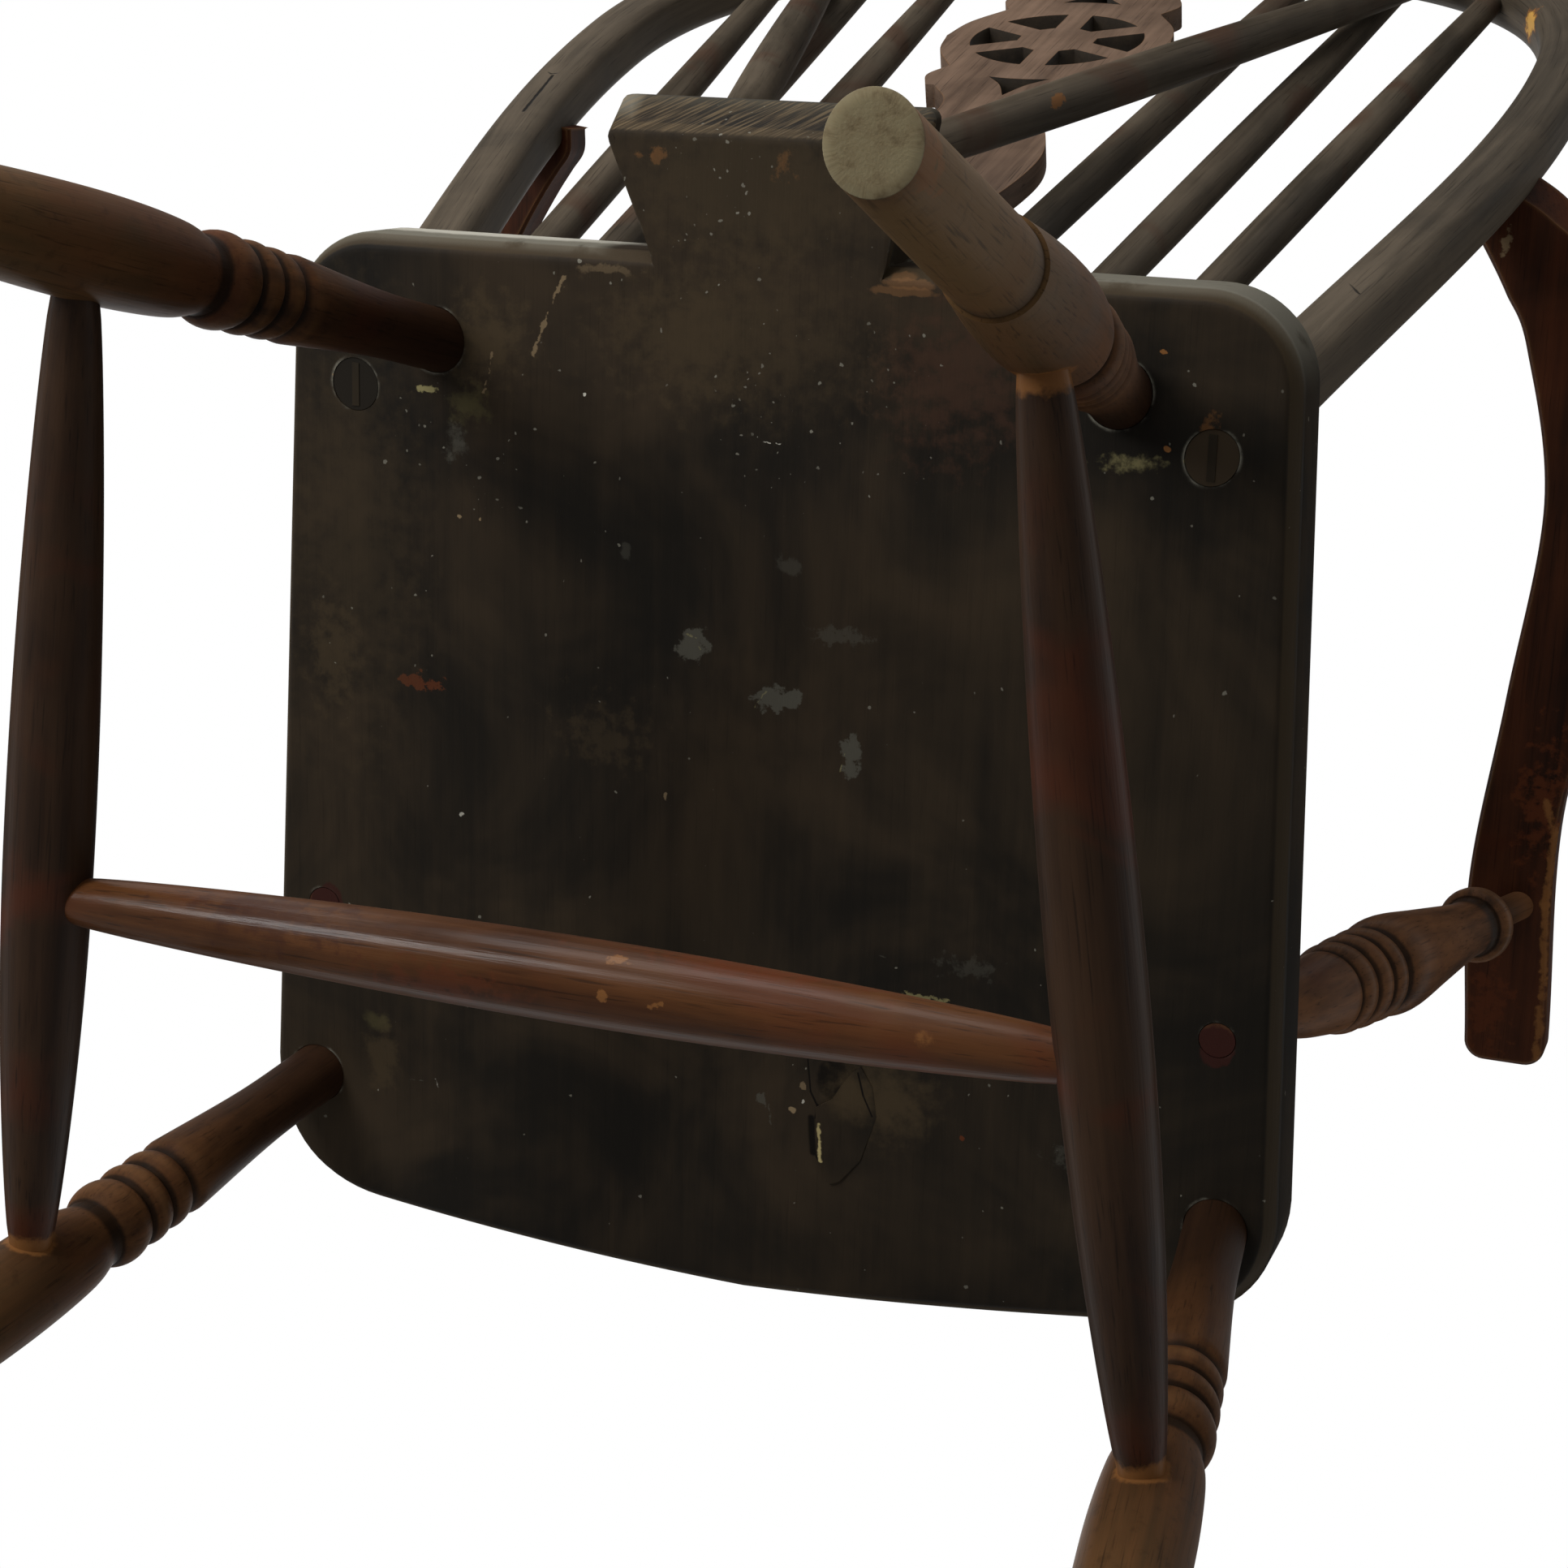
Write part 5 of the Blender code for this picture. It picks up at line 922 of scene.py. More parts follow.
def arm_edge(places, corner):
    """One long edge of the left arm, from the bow to the start of a front corner."""
    along = (ARM_END - ARM_START).normalized()
    outward = Vector((-along.y, along.x))
    points = [ARM_START.lerp(ARM_END, share) + outward * offset for share, offset in places]
    return spline(points + [corner], 2 * CURVE_STEPS)


def arm_bevel(point):
    """How far the underside of the left arm is cut back at a point of its outer edge."""
    along = ARM_END - ARM_START
    share = (point - ARM_START).dot(along) / along.length_squared
    return ARM_BEVEL_IN * max(0.0, 1.0 - share / ARM_BEVEL_SHARE)


def arm_outline():
    """The left arm seen from above, counterclockwise, its end inside the bow, with the bevel at each point."""
    radius = ARM_FRONT_RADIUS
    front_inner = arc(ARM_END + Vector((radius - ARM_FRONT_HALF, radius)), radius, 180.0, 270.0, CURVE_STEPS)
    front_outer = arc(ARM_END + Vector((ARM_FRONT_HALF - radius, radius)), radius, 270.0, 360.0, CURVE_STEPS)
    inner = arm_edge(ARM_INNER, front_inner[0])
    outer = arm_edge(ARM_OUTER, front_outer[-1])
    points = inner + front_inner[1:] + front_outer[:-1] + outer[::-1]
    bevels = [0.0] * (len(points) - len(outer)) + [arm_bevel(point) for point in reversed(outer)]
    return [point + SHIFT.to_2d() for point in points], bevels


def set_inputs(tree, node, values):
    """Set or link inputs of a node."""
    for key, value in values.items():
        if isinstance(value, bpy.types.NodeSocket):
            tree.links.new(value, node.inputs[key])
        else:
            node.inputs[key].default_value = value
    return node


def shader_node(tree, kind, values=None, **facts):
    """Add a node, set its facts, and set or link its inputs."""
    node = tree.nodes.new(kind)
    for key, fact in facts.items():
        setattr(node, key, fact)
    return set_inputs(tree, node, values or {})


def math_node(tree, operation, first, second=0.0, third=0.0, clamp=False):
    return shader_node(tree, "ShaderNodeMath", {0: first, 1: second, 2: third}, operation=operation,
                       use_clamp=clamp).outputs[0]


def vector_node(tree, operation, first, second=(0.0, 0.0, 0.0), output="Vector"):
    return shader_node(tree, "ShaderNodeVectorMath", {0: first, 1: second}, operation=operation).outputs[output]


def ramp_node(tree, value, low, high, to_low=0.0, to_high=1.0):
    """Smooth step of a value between two others."""
    facts = {"Value": value, "From Min": low, "From Max": high, "To Min": to_low, "To Max": to_high}
    return shader_node(tree, "ShaderNodeMapRange", facts, interpolation_type="SMOOTHSTEP").outputs["Result"]


def noise_node(tree, place, scale, detail=4.0, roughness=0.55, distortion=0.0, output="Fac"):
    facts = {"Vector": place, "Scale": scale, "Detail": detail, "Roughness": roughness, "Distortion": distortion}
    return shader_node(tree, "ShaderNodeTexNoise", facts).outputs[output]


def mix_node(tree, share, first, second):
    """Mix two colours by a share."""
    node = shader_node(tree, "ShaderNodeMix", data_type="RGBA")
    return set_inputs(tree, node, {0: share, 6: first, 7: second}).outputs[2]


def opaque(colour):
    return tuple(colour) + (1.0,)


def shade(name):
    """A colour of the finish by its name."""
    return opaque(getattr(bpy.context.scene.armchair_finish, name))


def layer(tree, mask, colour, name):
    """Lay a named colour of the finish over another, as far as a mask says."""
    return mix_node(tree, mask, colour, shade(name))


def node_group(name, inputs, outputs):
    """A shader group with named sockets; gives its tree, what it is given and what it puts out."""
    tree = bpy.data.node_groups.new(name, "ShaderNodeTree")
    for socket, default in inputs.items():
        kind = "NodeSocketVector" if isinstance(default, tuple) else "NodeSocketFloat"
        tree.interface.new_socket(socket, in_out="INPUT", socket_type=kind).default_value = default
    for socket in outputs:
        tree.interface.new_socket(socket, in_out="OUTPUT", socket_type="NodeSocketFloat")
    return tree, tree.nodes.new("NodeGroupInput").outputs, tree.nodes.new("NodeGroupOutput").inputs


def group_grain():
    """Figure, pores and streaks of wood that run along the first coordinate."""
    tree, given, out = node_group("Wood grain", {"Grain": (0.0, 0.0, 0.0)}, GRAIN_NOISE)
    for output, (fineness, noise) in GRAIN_NOISE.items():
        place = vector_node(tree, "MULTIPLY", given["Grain"], fineness)
        tree.links.new(noise_node(tree, place, 1.0, *noise), out[output])
    return tree


def group_wear():
    """Arrises rubbed by hands and floors, broken up along their length."""
    tree, given, out = node_group("Arris wear", {"Position": (0.0, 0.0, 0.0), "Width": 0.002, "Rub": 0.5}, ("Mask",))
    rounded = shader_node(tree, "ShaderNodeBevel", {"Radius": given["Width"]}, samples=ARRIS_SAMPLES).outputs[0]
    flat = shader_node(tree, "ShaderNodeNewGeometry").outputs["Normal"]
    edge = ramp_node(tree, vector_node(tree, "DOT_PRODUCT", rounded, flat, "Value"), *ARRIS_STEP)
    limit = math_node(tree, "SUBTRACT", 1.0, given["Rub"])
    shown = ramp_node(tree, noise_node(tree, given["Position"], *ARRIS_NOISE),
                      math_node(tree, "SUBTRACT", limit, ARRIS_BREAK), math_node(tree, "ADD", limit, ARRIS_BREAK))
    tree.links.new(math_node(tree, "MULTIPLY", edge, shown), out["Mask"])
    return tree


def broken_up(tree, distance, given):
    """A distance made uneven by the mottle, as far as the raggedness says."""
    rough = math_node(tree, "SUBTRACT", given["Mottle"], 0.5)
    reach = math_node(tree, "MULTIPLY", given["Ragged"], MOTTLE_REACH)
    return math_node(tree, "MULTIPLY_ADD", rough, reach, distance)


def group_spot():
    """A soft patch about a place, broken up by a mottle."""
    tree, given, out = node_group("Patch", {"Position": (0.0, 0.0, 0.0), "Mottle": 0.5, "Centre": (0.0, 0.0, 0.0),
                                            "Radii": (0.01, 0.01, 0.01), "Ragged": 0.5, "Softness": 0.5}, ("Mask",))
    apart = vector_node(tree, "SUBTRACT", given["Position"], given["Centre"])
    share = vector_node(tree, "LENGTH", vector_node(tree, "DIVIDE", apart, given["Radii"]), output="Value")
    full = math_node(tree, "SUBTRACT", 1.0, given["Softness"])
    tree.links.new(ramp_node(tree, broken_up(tree, share, given), 1.0, full), out["Mask"])
    return tree


def group_line():
    """A crack, scratch or streak from one place to another, broken up by a mottle."""
    tree, given, out = node_group("Line mark", {"Position": (0.0, 0.0, 0.0), "Mottle": 0.5, "Start": (0.0, 0.0, 0.0),
                                                "End": (0.0, 0.0, 0.1), "Width": 0.001, "Ragged": 0.001}, ("Mask",))
    along = vector_node(tree, "SUBTRACT", given["End"], given["Start"])
    from_start = vector_node(tree, "SUBTRACT", given["Position"], given["Start"])
    share = math_node(tree, "DIVIDE", vector_node(tree, "DOT_PRODUCT", from_start, along, "Value"),
                      vector_node(tree, "DOT_PRODUCT", along, along, "Value"), clamp=True)
    near = shader_node(tree, "ShaderNodeVectorMath", {0: along, "Scale": share}, operation="SCALE").outputs[0]
    apart = vector_node(tree, "LENGTH", vector_node(tree, "SUBTRACT", from_start, near), output="Value")
    full = math_node(tree, "MULTIPLY", given["Width"], LINE_CORE)
    tree.links.new(ramp_node(tree, broken_up(tree, apart, given), given["Width"], full), out["Mask"])
    return tree


def group_flecks():
    """Scattered flecks of different sizes, as many as the density says."""
    tree, given, out = node_group("Flecks", {"Position": (0.0, 0.0, 0.0), "Density": 0.1}, ("Mask",))
    cells = shader_node(tree, "ShaderNodeTexVoronoi", {"Vector": given["Position"], "Scale": FLECK_SCALE})
    chance = shader_node(tree, "ShaderNodeSeparateColor", {"Color": cells.outputs["Color"]}).outputs
    shown = math_node(tree, "LESS_THAN", chance[0], given["Density"])
    power, *spread = FLECK_SIZE
    size = math_node(tree, "MULTIPLY_ADD", math_node(tree, "POWER", chance[1], power), *spread)
    edge = math_node(tree, "SUBTRACT", size, cells.outputs["Distance"])
    strength = math_node(tree, "MULTIPLY_ADD", chance[2], *FLECK_SHADE)
    mask = math_node(tree, "MULTIPLY", ramp_node(tree, edge, 0.0, FLECK_SOFT), shown)
    tree.links.new(math_node(tree, "MULTIPLY", mask, strength), out["Mask"])
    return tree


GROUPS = {"Wood grain": group_grain, "Arris wear": group_wear, "Patch": group_spot, "Line mark": group_line,
          "Flecks": group_flecks}


def use_group(tree, name, values):
    """Place a shared group in a material, making it the first time."""
    return shader_node(tree, "ShaderNodeGroup", values, node_tree=bpy.data.node_groups.get(name) or GROUPS[name]())


def sawn_tail(tree, place, rise, colour, relief):
    """Thin stain on the seat's chamfer, and the marks of a saw that ran slantwise across the tail's end."""
    low, bevel, top = SEAT_LOW.z, SEAT_HIGH.y - TAIL_BEVEL_IN, SEAT_HIGH.z - TAIL_EDGE
    starts = ramp_node(tree, rise, low + CHAMFER_STEP[0], low + CHAMFER_STEP[1], 0.0, CHAMFER_STAIN)
    ends = ramp_node(tree, rise, low + CHAMFER_RISE, low + CHAMFER_SHARE * CHAMFER_RISE)
    colour = layer(tree, math_node(tree, "MULTIPLY", starts, ends), colour, "umber")
    ways = [math_node(tree, "MULTIPLY", vector_node(tree, "DOT_PRODUCT", place, way, "Value"), fineness)
            for way, fineness in SAW_WAYS]
    slanted = shader_node(tree, "ShaderNodeCombineXYZ", dict(enumerate(ways))).outputs[0]
    streaks = noise_node(tree, slanted, *SAW_NOISE)
    depth = shader_node(tree, "ShaderNodeSeparateXYZ", {0: place}).outputs["Y"]
    end = math_node(tree, "MULTIPLY", ramp_node(tree, depth, bevel - SAW_END_SOFT, bevel + SAW_END_SOFT),
                    ramp_node(tree, rise, top + SAW_EDGE_SOFT, top - SAW_EDGE_SOFT))
    shown = math_node(tree, "MULTIPLY", ramp_node(tree, streaks, *SAW_STEP), end)
    marks = math_node(tree, "MULTIPLY", streaks, end)
    return layer(tree, shown, colour, "tan"), math_node(tree, "MULTIPLY_ADD", marks, SAW_RELIEF, relief)


def worn_feet(tree, place, rise, mottle, colour):
    """Rubbed and dirty feet with pale end grain under them."""
    edge = math_node(tree, "MULTIPLY_ADD", noise_node(tree, place, *FOOT_NOISE), FOOT_REACH, rise)
    colour = layer(tree, ramp_node(tree, edge, *FOOT_STEP), colour, "bare")
    end_grain = layer(tree, ramp_node(tree, mottle, *END_GRAIN_STEP), shade("foot_end"), "tan")
    colour = mix_node(tree, ramp_node(tree, rise, *FOOT_END_STEP), colour, end_grain)
    return layer(tree, ramp_node(tree, mottle, *FOOT_DIRT_STEP), colour, "grime")


def wood(name, dark, light, roughness, specular, red=None, worn="bare", rim=None, arris=0.0, rub=0.45, figure=1.0,
         edge=0.55, patches=(), lines=(), flecks=(), feet=False, tail=False):
    """Old stained wood: figure, thin and red places, dirt in hollows, rubbed crests and arrises, and marks;
    the seat's pale rim and the legs' pale feet are partly painted sheen.
    """
    material = bpy.data.materials.new(name)
    material.use_nodes = True
    tree = material.node_tree
    shader = tree.nodes["Principled BSDF"]
    shader.inputs["Specular IOR Level"].default_value = specular
    place = shader_node(tree, "ShaderNodeTexCoord").outputs["Object"]
    rise = shader_node(tree, "ShaderNodeSeparateXYZ", {0: place}).outputs["Z"]
    along = shader_node(tree, "ShaderNodeAttribute", attribute_name="grain").outputs["Vector"]
    lift = shader_node(tree, "ShaderNodeAttribute", attribute_name="rub").outputs["Fac"]
    grain = use_group(tree, "Wood grain", {"Grain": along}).outputs
    cloud = noise_node(tree, place, *CLOUD_NOISE)
    mottle = noise_node(tree, place, *MOTTLE_NOISE)
    jitter = vector_node(tree, "SUBTRACT", noise_node(tree, place, *JITTER_NOISE, output="Color"), (0.5, 0.5, 0.5))
    broken = vector_node(tree, "ADD", vector_node(tree, "MULTIPLY", jitter, JITTER_REACH), place)

    tone = math_node(tree, "MULTIPLY_ADD", grain["Figure"], FIGURE_SHARE * figure,
                     math_node(tree, "MULTIPLY", cloud, CLOUD_SHARE - FIGURE_SHARE * figure))
    tone = math_node(tree, "MULTIPLY_ADD", grain["Streaks"], STREAK_SHARE * figure, tone)
    thin = ramp_node(tree, tone, *(start + gain * figure for start, gain in TONE_STEP))
    colour = layer(tree, thin, shade(dark), light)
    if red:
        colour = layer(tree, ramp_node(tree, noise_node(tree, place, *RED_NOISE), *RED_STEP), colour, red)
    if feet:
        # Legs turn paler towards the floor, partly scuffed stain and partly painted sheen, and darken to the dark
        # stain towards the seat
        scuff_and_sheen = math_node(tree, "MULTIPLY_ADD", tone, SCUFF_SHEEN_REACH, rise)
        colour = layer(tree, ramp_node(tree, scuff_and_sheen, *SCUFF_SHEEN_STEP), colour, "foot_fade_and_sheen")
        colour = layer(tree, ramp_node(tree, rise, *THIGH_STEP), colour, dark)
    colour = layer(tree, ramp_node(tree, grain["Pores"], *PORE_STEP, PORE_SHARE * figure), colour, "grime")
    colour = layer(tree, ramp_node(tree, lift, *HOLLOW_STEP), colour, "grime")
    # On the seat the rub marks only its rim, which is painted pale: partly dust, partly painted sheen
    share, *breaks = RIM_DUST_SHEEN_SHOWN if rim else CREST_SHOWN
    crest = math_node(tree, "MULTIPLY", ramp_node(tree, lift, *CREST_STEP, share),
                      ramp_node(tree, noise_node(tree, place, *CREST_NOISE), *breaks))
    colour = layer(tree, crest, colour, rim or worn)
    if arris:
        wear = use_group(tree, "Arris wear", {"Position": place, "Width": arris, "Rub": rub}).outputs["Mask"]
        colour = layer(tree, math_node(tree, "MULTIPLY", wear, ARRIS_SHARE), colour, worn)
    relief = math_node(tree, "MULTIPLY_ADD", grain["Figure"], FIGURE_RELIEF,
                       math_node(tree, "MULTIPLY", grain["Pores"], PORE_RELIEF))
    if tail:
        colour, relief = sawn_tail(tree, place, rise, colour, relief)

    for centre, radii, ragged, softness, look, strength in patches:
        mask = use_group(tree, "Patch", {"Position": broken, "Mottle": mottle, "Centre": centre, "Radii": radii,
                                         "Ragged": ragged, "Softness": softness}).outputs["Mask"]
        colour = layer(tree, math_node(tree, "MULTIPLY", mask, strength), colour, look)
    for start, end, width, ragged, look, strength, depth in lines:
        mask = use_group(tree, "Line mark", {"Position": place if depth else broken, "Mottle": mottle,
                                             "Start": start, "End": end, "Width": width,
                                             "Ragged": ragged}).outputs["Mask"]
        colour = layer(tree, math_node(tree, "MULTIPLY", mask, strength), colour, look)
        if depth:
            relief = math_node(tree, "MULTIPLY_ADD", mask, -depth, relief)
    if flecks:
        density = FLECKS_ELSEWHERE
        for centre, radii, amount in flecks:
            field = use_group(tree, "Patch", {"Position": place, "Mottle": cloud, "Centre": centre, "Radii": radii,
                                              **FLECK_EDGE}).outputs["Mask"]
            density = math_node(tree, "MULTIPLY_ADD", field, amount, density)
        mask = use_group(tree, "Flecks", {"Position": broken, "Density": density}).outputs["Mask"]
        colour = layer(tree, mask, colour, "bloom")
    if feet:
        colour = worn_feet(tree, place, rise, mottle, colour)

    gloss = math_node(tree, "MULTIPLY_ADD", math_node(tree, "SUBTRACT", cloud, 0.5), CLOUD_GLOSS, roughness)
    facing = shader_node(tree, "ShaderNodeLayerWeight", {"Blend": 0.5}).outputs["Facing"]
    gloss = math_node(tree, "ADD", gloss, ramp_node(tree, facing, *GLANCE_STEP, edge))
    gloss = math_node(tree, "MULTIPLY_ADD", grain["Pores"], PORE_GLOSS, gloss)
    bump = shader_node(tree, "ShaderNodeBump", {"Height": relief, **RELIEF}).outputs["Normal"]
    set_inputs(tree, shader, {"Base Color": colour, "Roughness": gloss, "Normal": bump})
    return material


def seat_patches(rows, depth=MARK_DEPTH):
    """Patches under the seat, from rows in millimetres."""
    return [((x * MM, y * MM, SEAT_LOW.z), (across * MM, along * MM, depth), *look)
            for x, y, across, along, *look in rows]


def seat_lines(rows):
    """Lines under the seat, from rows in millimetres."""
    return [((x * MM, y * MM, SEAT_LOW.z), (to_x * MM, to_y * MM, SEAT_LOW.z), width * MM, ragged * MM, *look)
            for x, y, to_x, to_y, width, ragged, *look in rows]


class ARMCHAIR_OT_seat(bpy.types.Operator):
    """Build the seat board with its tail, chamfers, bowl and sockets"""
    bl_idname = "armchair.seat"
    bl_label = "Seat"

    def execute(self, context):
        sizes, boards = context.scene.armchair_turning, context.scene.armchair_boards
        low, high = SEAT_LOW.z, SEAT_HIGH.z
        outline, edge, arris = seat_outline()
        count = len(outline)
        bm, grain, rub = new_piece()
        rings = [level(inset(edge, [UNDER_BAND] * count), [low] * count), level(edge, [low] * count),
                 level(outline, arris), level(outline, [high - RIM_ROUND] * count),
                 level(inset(outline, [RIM_ROUND] * count), [high] * count)]
        soften_turns(bm, skin(bm, rings, (False, False))[1:3], boards.arris)
        middle = DISH_MIDDLE + SHIFT.to_2d()
        bowl = []
        for share in DISH_RINGS:
            ring = [middle + point * DISH_HALF * share for point in circle(1.0, DISH_SIDES)]
            bowl.append(level(ring, [high - boards.dish_depth * (1.0 - share ** 2) ** DISH_FALL] * DISH_SIDES))
        skin(bm, bowl, (False, True))
        sockets = [(axis_of(f"leg_{end}_{name}", True), sizes.leg_neck) for end in ENDS for name in SIDES]
        sockets += [(axis_of(f"arm_post_{name}", True), sizes.post_tenon) for name in SIDES]
        sockets += [(bow_foot_axis(side), BOW_TENON_RADIUS) for side in SIDES.values()]
        for axis, radius in sockets:
            skin(bm, level_rings(axis, radius + SOCKET_GAP, (low, low + SOCKET_DEPTH)), (False, True))
        for height in (low, high):
            rims = [item for item in bm.edges if item.is_boundary and abs(item.verts[0].co.z - height) < DOUBLE]
            bmesh.ops.triangle_fill(bm, edges=rims, use_beauty=True, use_dissolve=False)
        lay_grain(bm, grain)
        # Rear rim and tail edge get a rub value that the finish paints pale: partly dust, partly painted sheen
        for vert in bm.verts:
            behind = abs(vert.co.x) > TAIL_END_HALF
            turn = (vert.co.y - REAR_Y - SHIFT.y) / REAR_RADIUS + RIM_DUST_SHEEN_START
            at_end = vert.co.y > SEAT_HIGH.y - CHAMFER_IN and vert.co.z > high - TAIL_EDGE - RIM_ROUND
            if (behind or at_end) and low + CHAMFER_SHARE * CHAMFER_RISE < vert.co.z < high - DOUBLE:
                vert[rub] = min(max(turn, 0.0), 1.0) if behind else TAIL_DUST_SHEEN
        material = wood("seat_stain", "seat_dark", "seat_light", roughness=0.58, specular=0.06, worn="bloom",
                        rim="rim_dust_and_sheen", arris=0.0022, figure=0.35, tail=True,
                        patches=seat_patches(SEAT_PATCHES) + RIM_CHALK_AND_SHEEN, lines=seat_lines(SEAT_LINES) + [TAIL_GOUGE],
                        flecks=seat_patches(FLECK_FIELDS, FLECK_DEPTH))
        finish_piece("seat_board", bm, [material], ["seat"])
        return {"FINISHED"}


class ARMCHAIR_OT_splinter(bpy.types.Operator):
    """Lift the torn splinter under the seat"""
    bl_idname = "armchair.splinter"
    bl_label = "Splinter"

    def execute(self, context):
        low = SEAT_LOW.z
        bm, grain, _ = new_piece()
        outline = [Vector(point) * MM for point in SPLINTER]
        right, left = min(point.x for point in outline), max(point.x for point in outline)
        least, most = SPLINTER_LIFT
        lifts = [least + (most - least) * (point.x - right) / (left - right) for point in outline]
        skin(bm, [level(outline, [low - lift for lift in lifts]), level(outline, [low + UNDER_BAND] * len(outline))])
        lay_grain(bm, grain)
        fall = most / (left - right)
        lines = [((*start[:2], low - fall * (start[0] - right)), (*end[:2], low - fall * (end[0] - right)), *look)
                 for start, end, *look in seat_lines(SPLINTER_LINES)]
        material = wood("splinter_stain", "seat_dark", "seat_light", roughness=0.6, specular=0.06, figure=0.35,
                        patches=seat_patches(SPLINTER_STAIN), lines=lines)
        finish_piece("lifted_splinter", bm, [material])
        return {"FINISHED"}


class ARMCHAIR_OT_legs(bpy.types.Operator):
    """Turn the four splayed legs and saw their feet level"""
    bl_idname = "armchair.legs"
    bl_label = "Legs"

    def execute(self, context):
        sizes = context.scene.armchair_turning
        material = wood("leg_stain", "turned_dark", "turned_light", roughness=0.48, specular=0.035,
                        red="turned_red", edge=0.10, patches=JOINT_WEAR + FOOT_WEAR, feet=True)
        for number, (end, name) in enumerate((end, name) for end in ENDS for name in SIDES):
            axis = axis_of(f"leg_{end}_{name}", True)
            top, foot = at_height(axis, SEAT_LOW.z), axis[0]
            bm = spin_turning(top, foot, leg_profile(sizes, (foot - top).length), LEG_GRAIN * number)
            saw_level(bm, 0.0, sizes.foot_chamfer)
            finish_piece(f"turned_leg_{end}_{name}", bm, [material], [f"leg_{end}_{name}"])
        return {"FINISHED"}


class ARMCHAIR_OT_stretchers(bpy.types.Operator):
    """Turn the two side stretchers and the cross stretcher"""
    bl_idname = "armchair.stretchers"
    bl_label = "Stretchers"

    def execute(self, context):
        sizes = context.scene.armchair_turning
        cross = wood("cross_varnish", "cross_dark", "cross_light", roughness=0.22, specular=0.12,
                     red="cross_red", patches=CROSS_WEAR_AND_LIGHT)
        sides = wood("side_stain", "side_dark", "side_light", roughness=0.42, specular=0.08, red="side_red",
                     patches=JOINT_WEAR)
        pieces = [("cross_stretcher", cross, sizes.cross_tenon, sizes.cross_belly, CROSS_BELLY_SHARE, CROSS_BURIED)]
        pieces += [(f"side_stretcher_{name}", sides, sizes.side_tenon, sizes.side_belly, SIDE_BELLY_SHARE,
                    SIDE_BURIED) for name in SIDES]
        for number, (node, material, tenon, belly, share, buried) in enumerate(pieces):
            start, end = axis_of(node)
            length = (end - start).length
            profile = [(0.0, tenon)] + swelling(buried, length - buried, (tenon, belly, tenon), 1.0 - share,
                                                STRETCHER_FULLNESS) + [(length, tenon)]
            bm = spin_turning(start, end, profile, STRETCHER_GRAIN * number)
            finish_piece(f"turned_{node}", bm, [material], [node])
        return {"FINISHED"}


class ARMCHAIR_OT_posts(bpy.types.Operator):
    """Turn the two arm posts with their rings and collars"""
    bl_idname = "armchair.posts"
    bl_label = "Arm posts"

    def execute(self, context):
        sizes = context.scene.armchair_turning
        material = wood("post_stain", "post_dark", "post_light", roughness=0.42, specular=0.06, red="post_red",
                        patches=POST_ENDS)
        first, step = POST_GRAIN
        for number, name in enumerate(SIDES):
            axis = axis_of(f"arm_post_{name}", True)
            arm_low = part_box(f"arm_{name}")[0].z
            foot, head = at_height(axis, SEAT_LOW.z), at_height(axis, arm_low)
            length = (head - foot).length
            seat_run = (SEAT_HIGH.z + POST_CLEAR - SEAT_LOW.z) * length / (head.z - foot.z)
            depth = (axis[1] - head).length
            bm = spin_turning(foot, head, post_profile(sizes, length, seat_run, depth), first + step * number)
            saw_level(bm, SEAT_LOW.z, 0.0)
            finish_piece(f"turned_post_{name}", bm, [material], [f"arm_post_{name}"])
        return {"FINISHED"}


class ARMCHAIR_OT_bow(bpy.types.Operator):
    """Bend the bow and seat its round tenons"""
    bl_idname = "armchair.bow"
    bl_label = "Bow"

    def execute(self, context):
        boards = context.scene.armchair_boards
        bm, grain, _ = new_piece()
        half = bow_half()
        path = [bow_point(point.x, point.y) for point in half]
        path += [bow_point(-point.x, point.y) for point in reversed(half[:-1])]
        normal = Vector((0.0, 1.0, -BOW_RAKE)).normalized()
        corner = 0.5 * boards.bow_width - boards.bow_edge
        section = []
        for quarter, (a, b) in enumerate(((corner, corner), (-corner, corner), (-corner, -corner), (corner, -corner))):
            section += arc((a, b), boards.bow_edge, 90.0 * quarter, 90.0 * quarter + 90.0, CURVE_STEPS)
        rings, places = [], []
        run = 0.0
        for before, point, after in zip(path, path[1:], path[2:]):
            run += (point - before).length
            if point.z > SEAT_HIGH.z - BOW_BURIED:
                across = normal.cross(after - before).normalized()
                rings.append([point + across * a + normal * b for a, b in section])
                places += [(run, a, b) for a, b in section]
        skin(bm, rings)
        for vert, place in zip(bm.verts, places):
            vert[grain] = place
        for side in SIDES.values():
            heights = (SEAT_LOW.z + SOCKET_GAP, SEAT_HIGH.z - 0.5 * BOW_BURIED)
            skin(bm, level_rings(bow_foot_axis(side), BOW_TENON_RADIUS, heights))
        material = wood("bow_stain", "back_dark", "back_light", roughness=0.55, specular=0.05, edge=0.15,
                        patches=BOW_WEAR, lines=BOW_CRACKS)
        finish_piece("bent_bow", bm, [material], ["bow"])
        return {"FINISHED"}


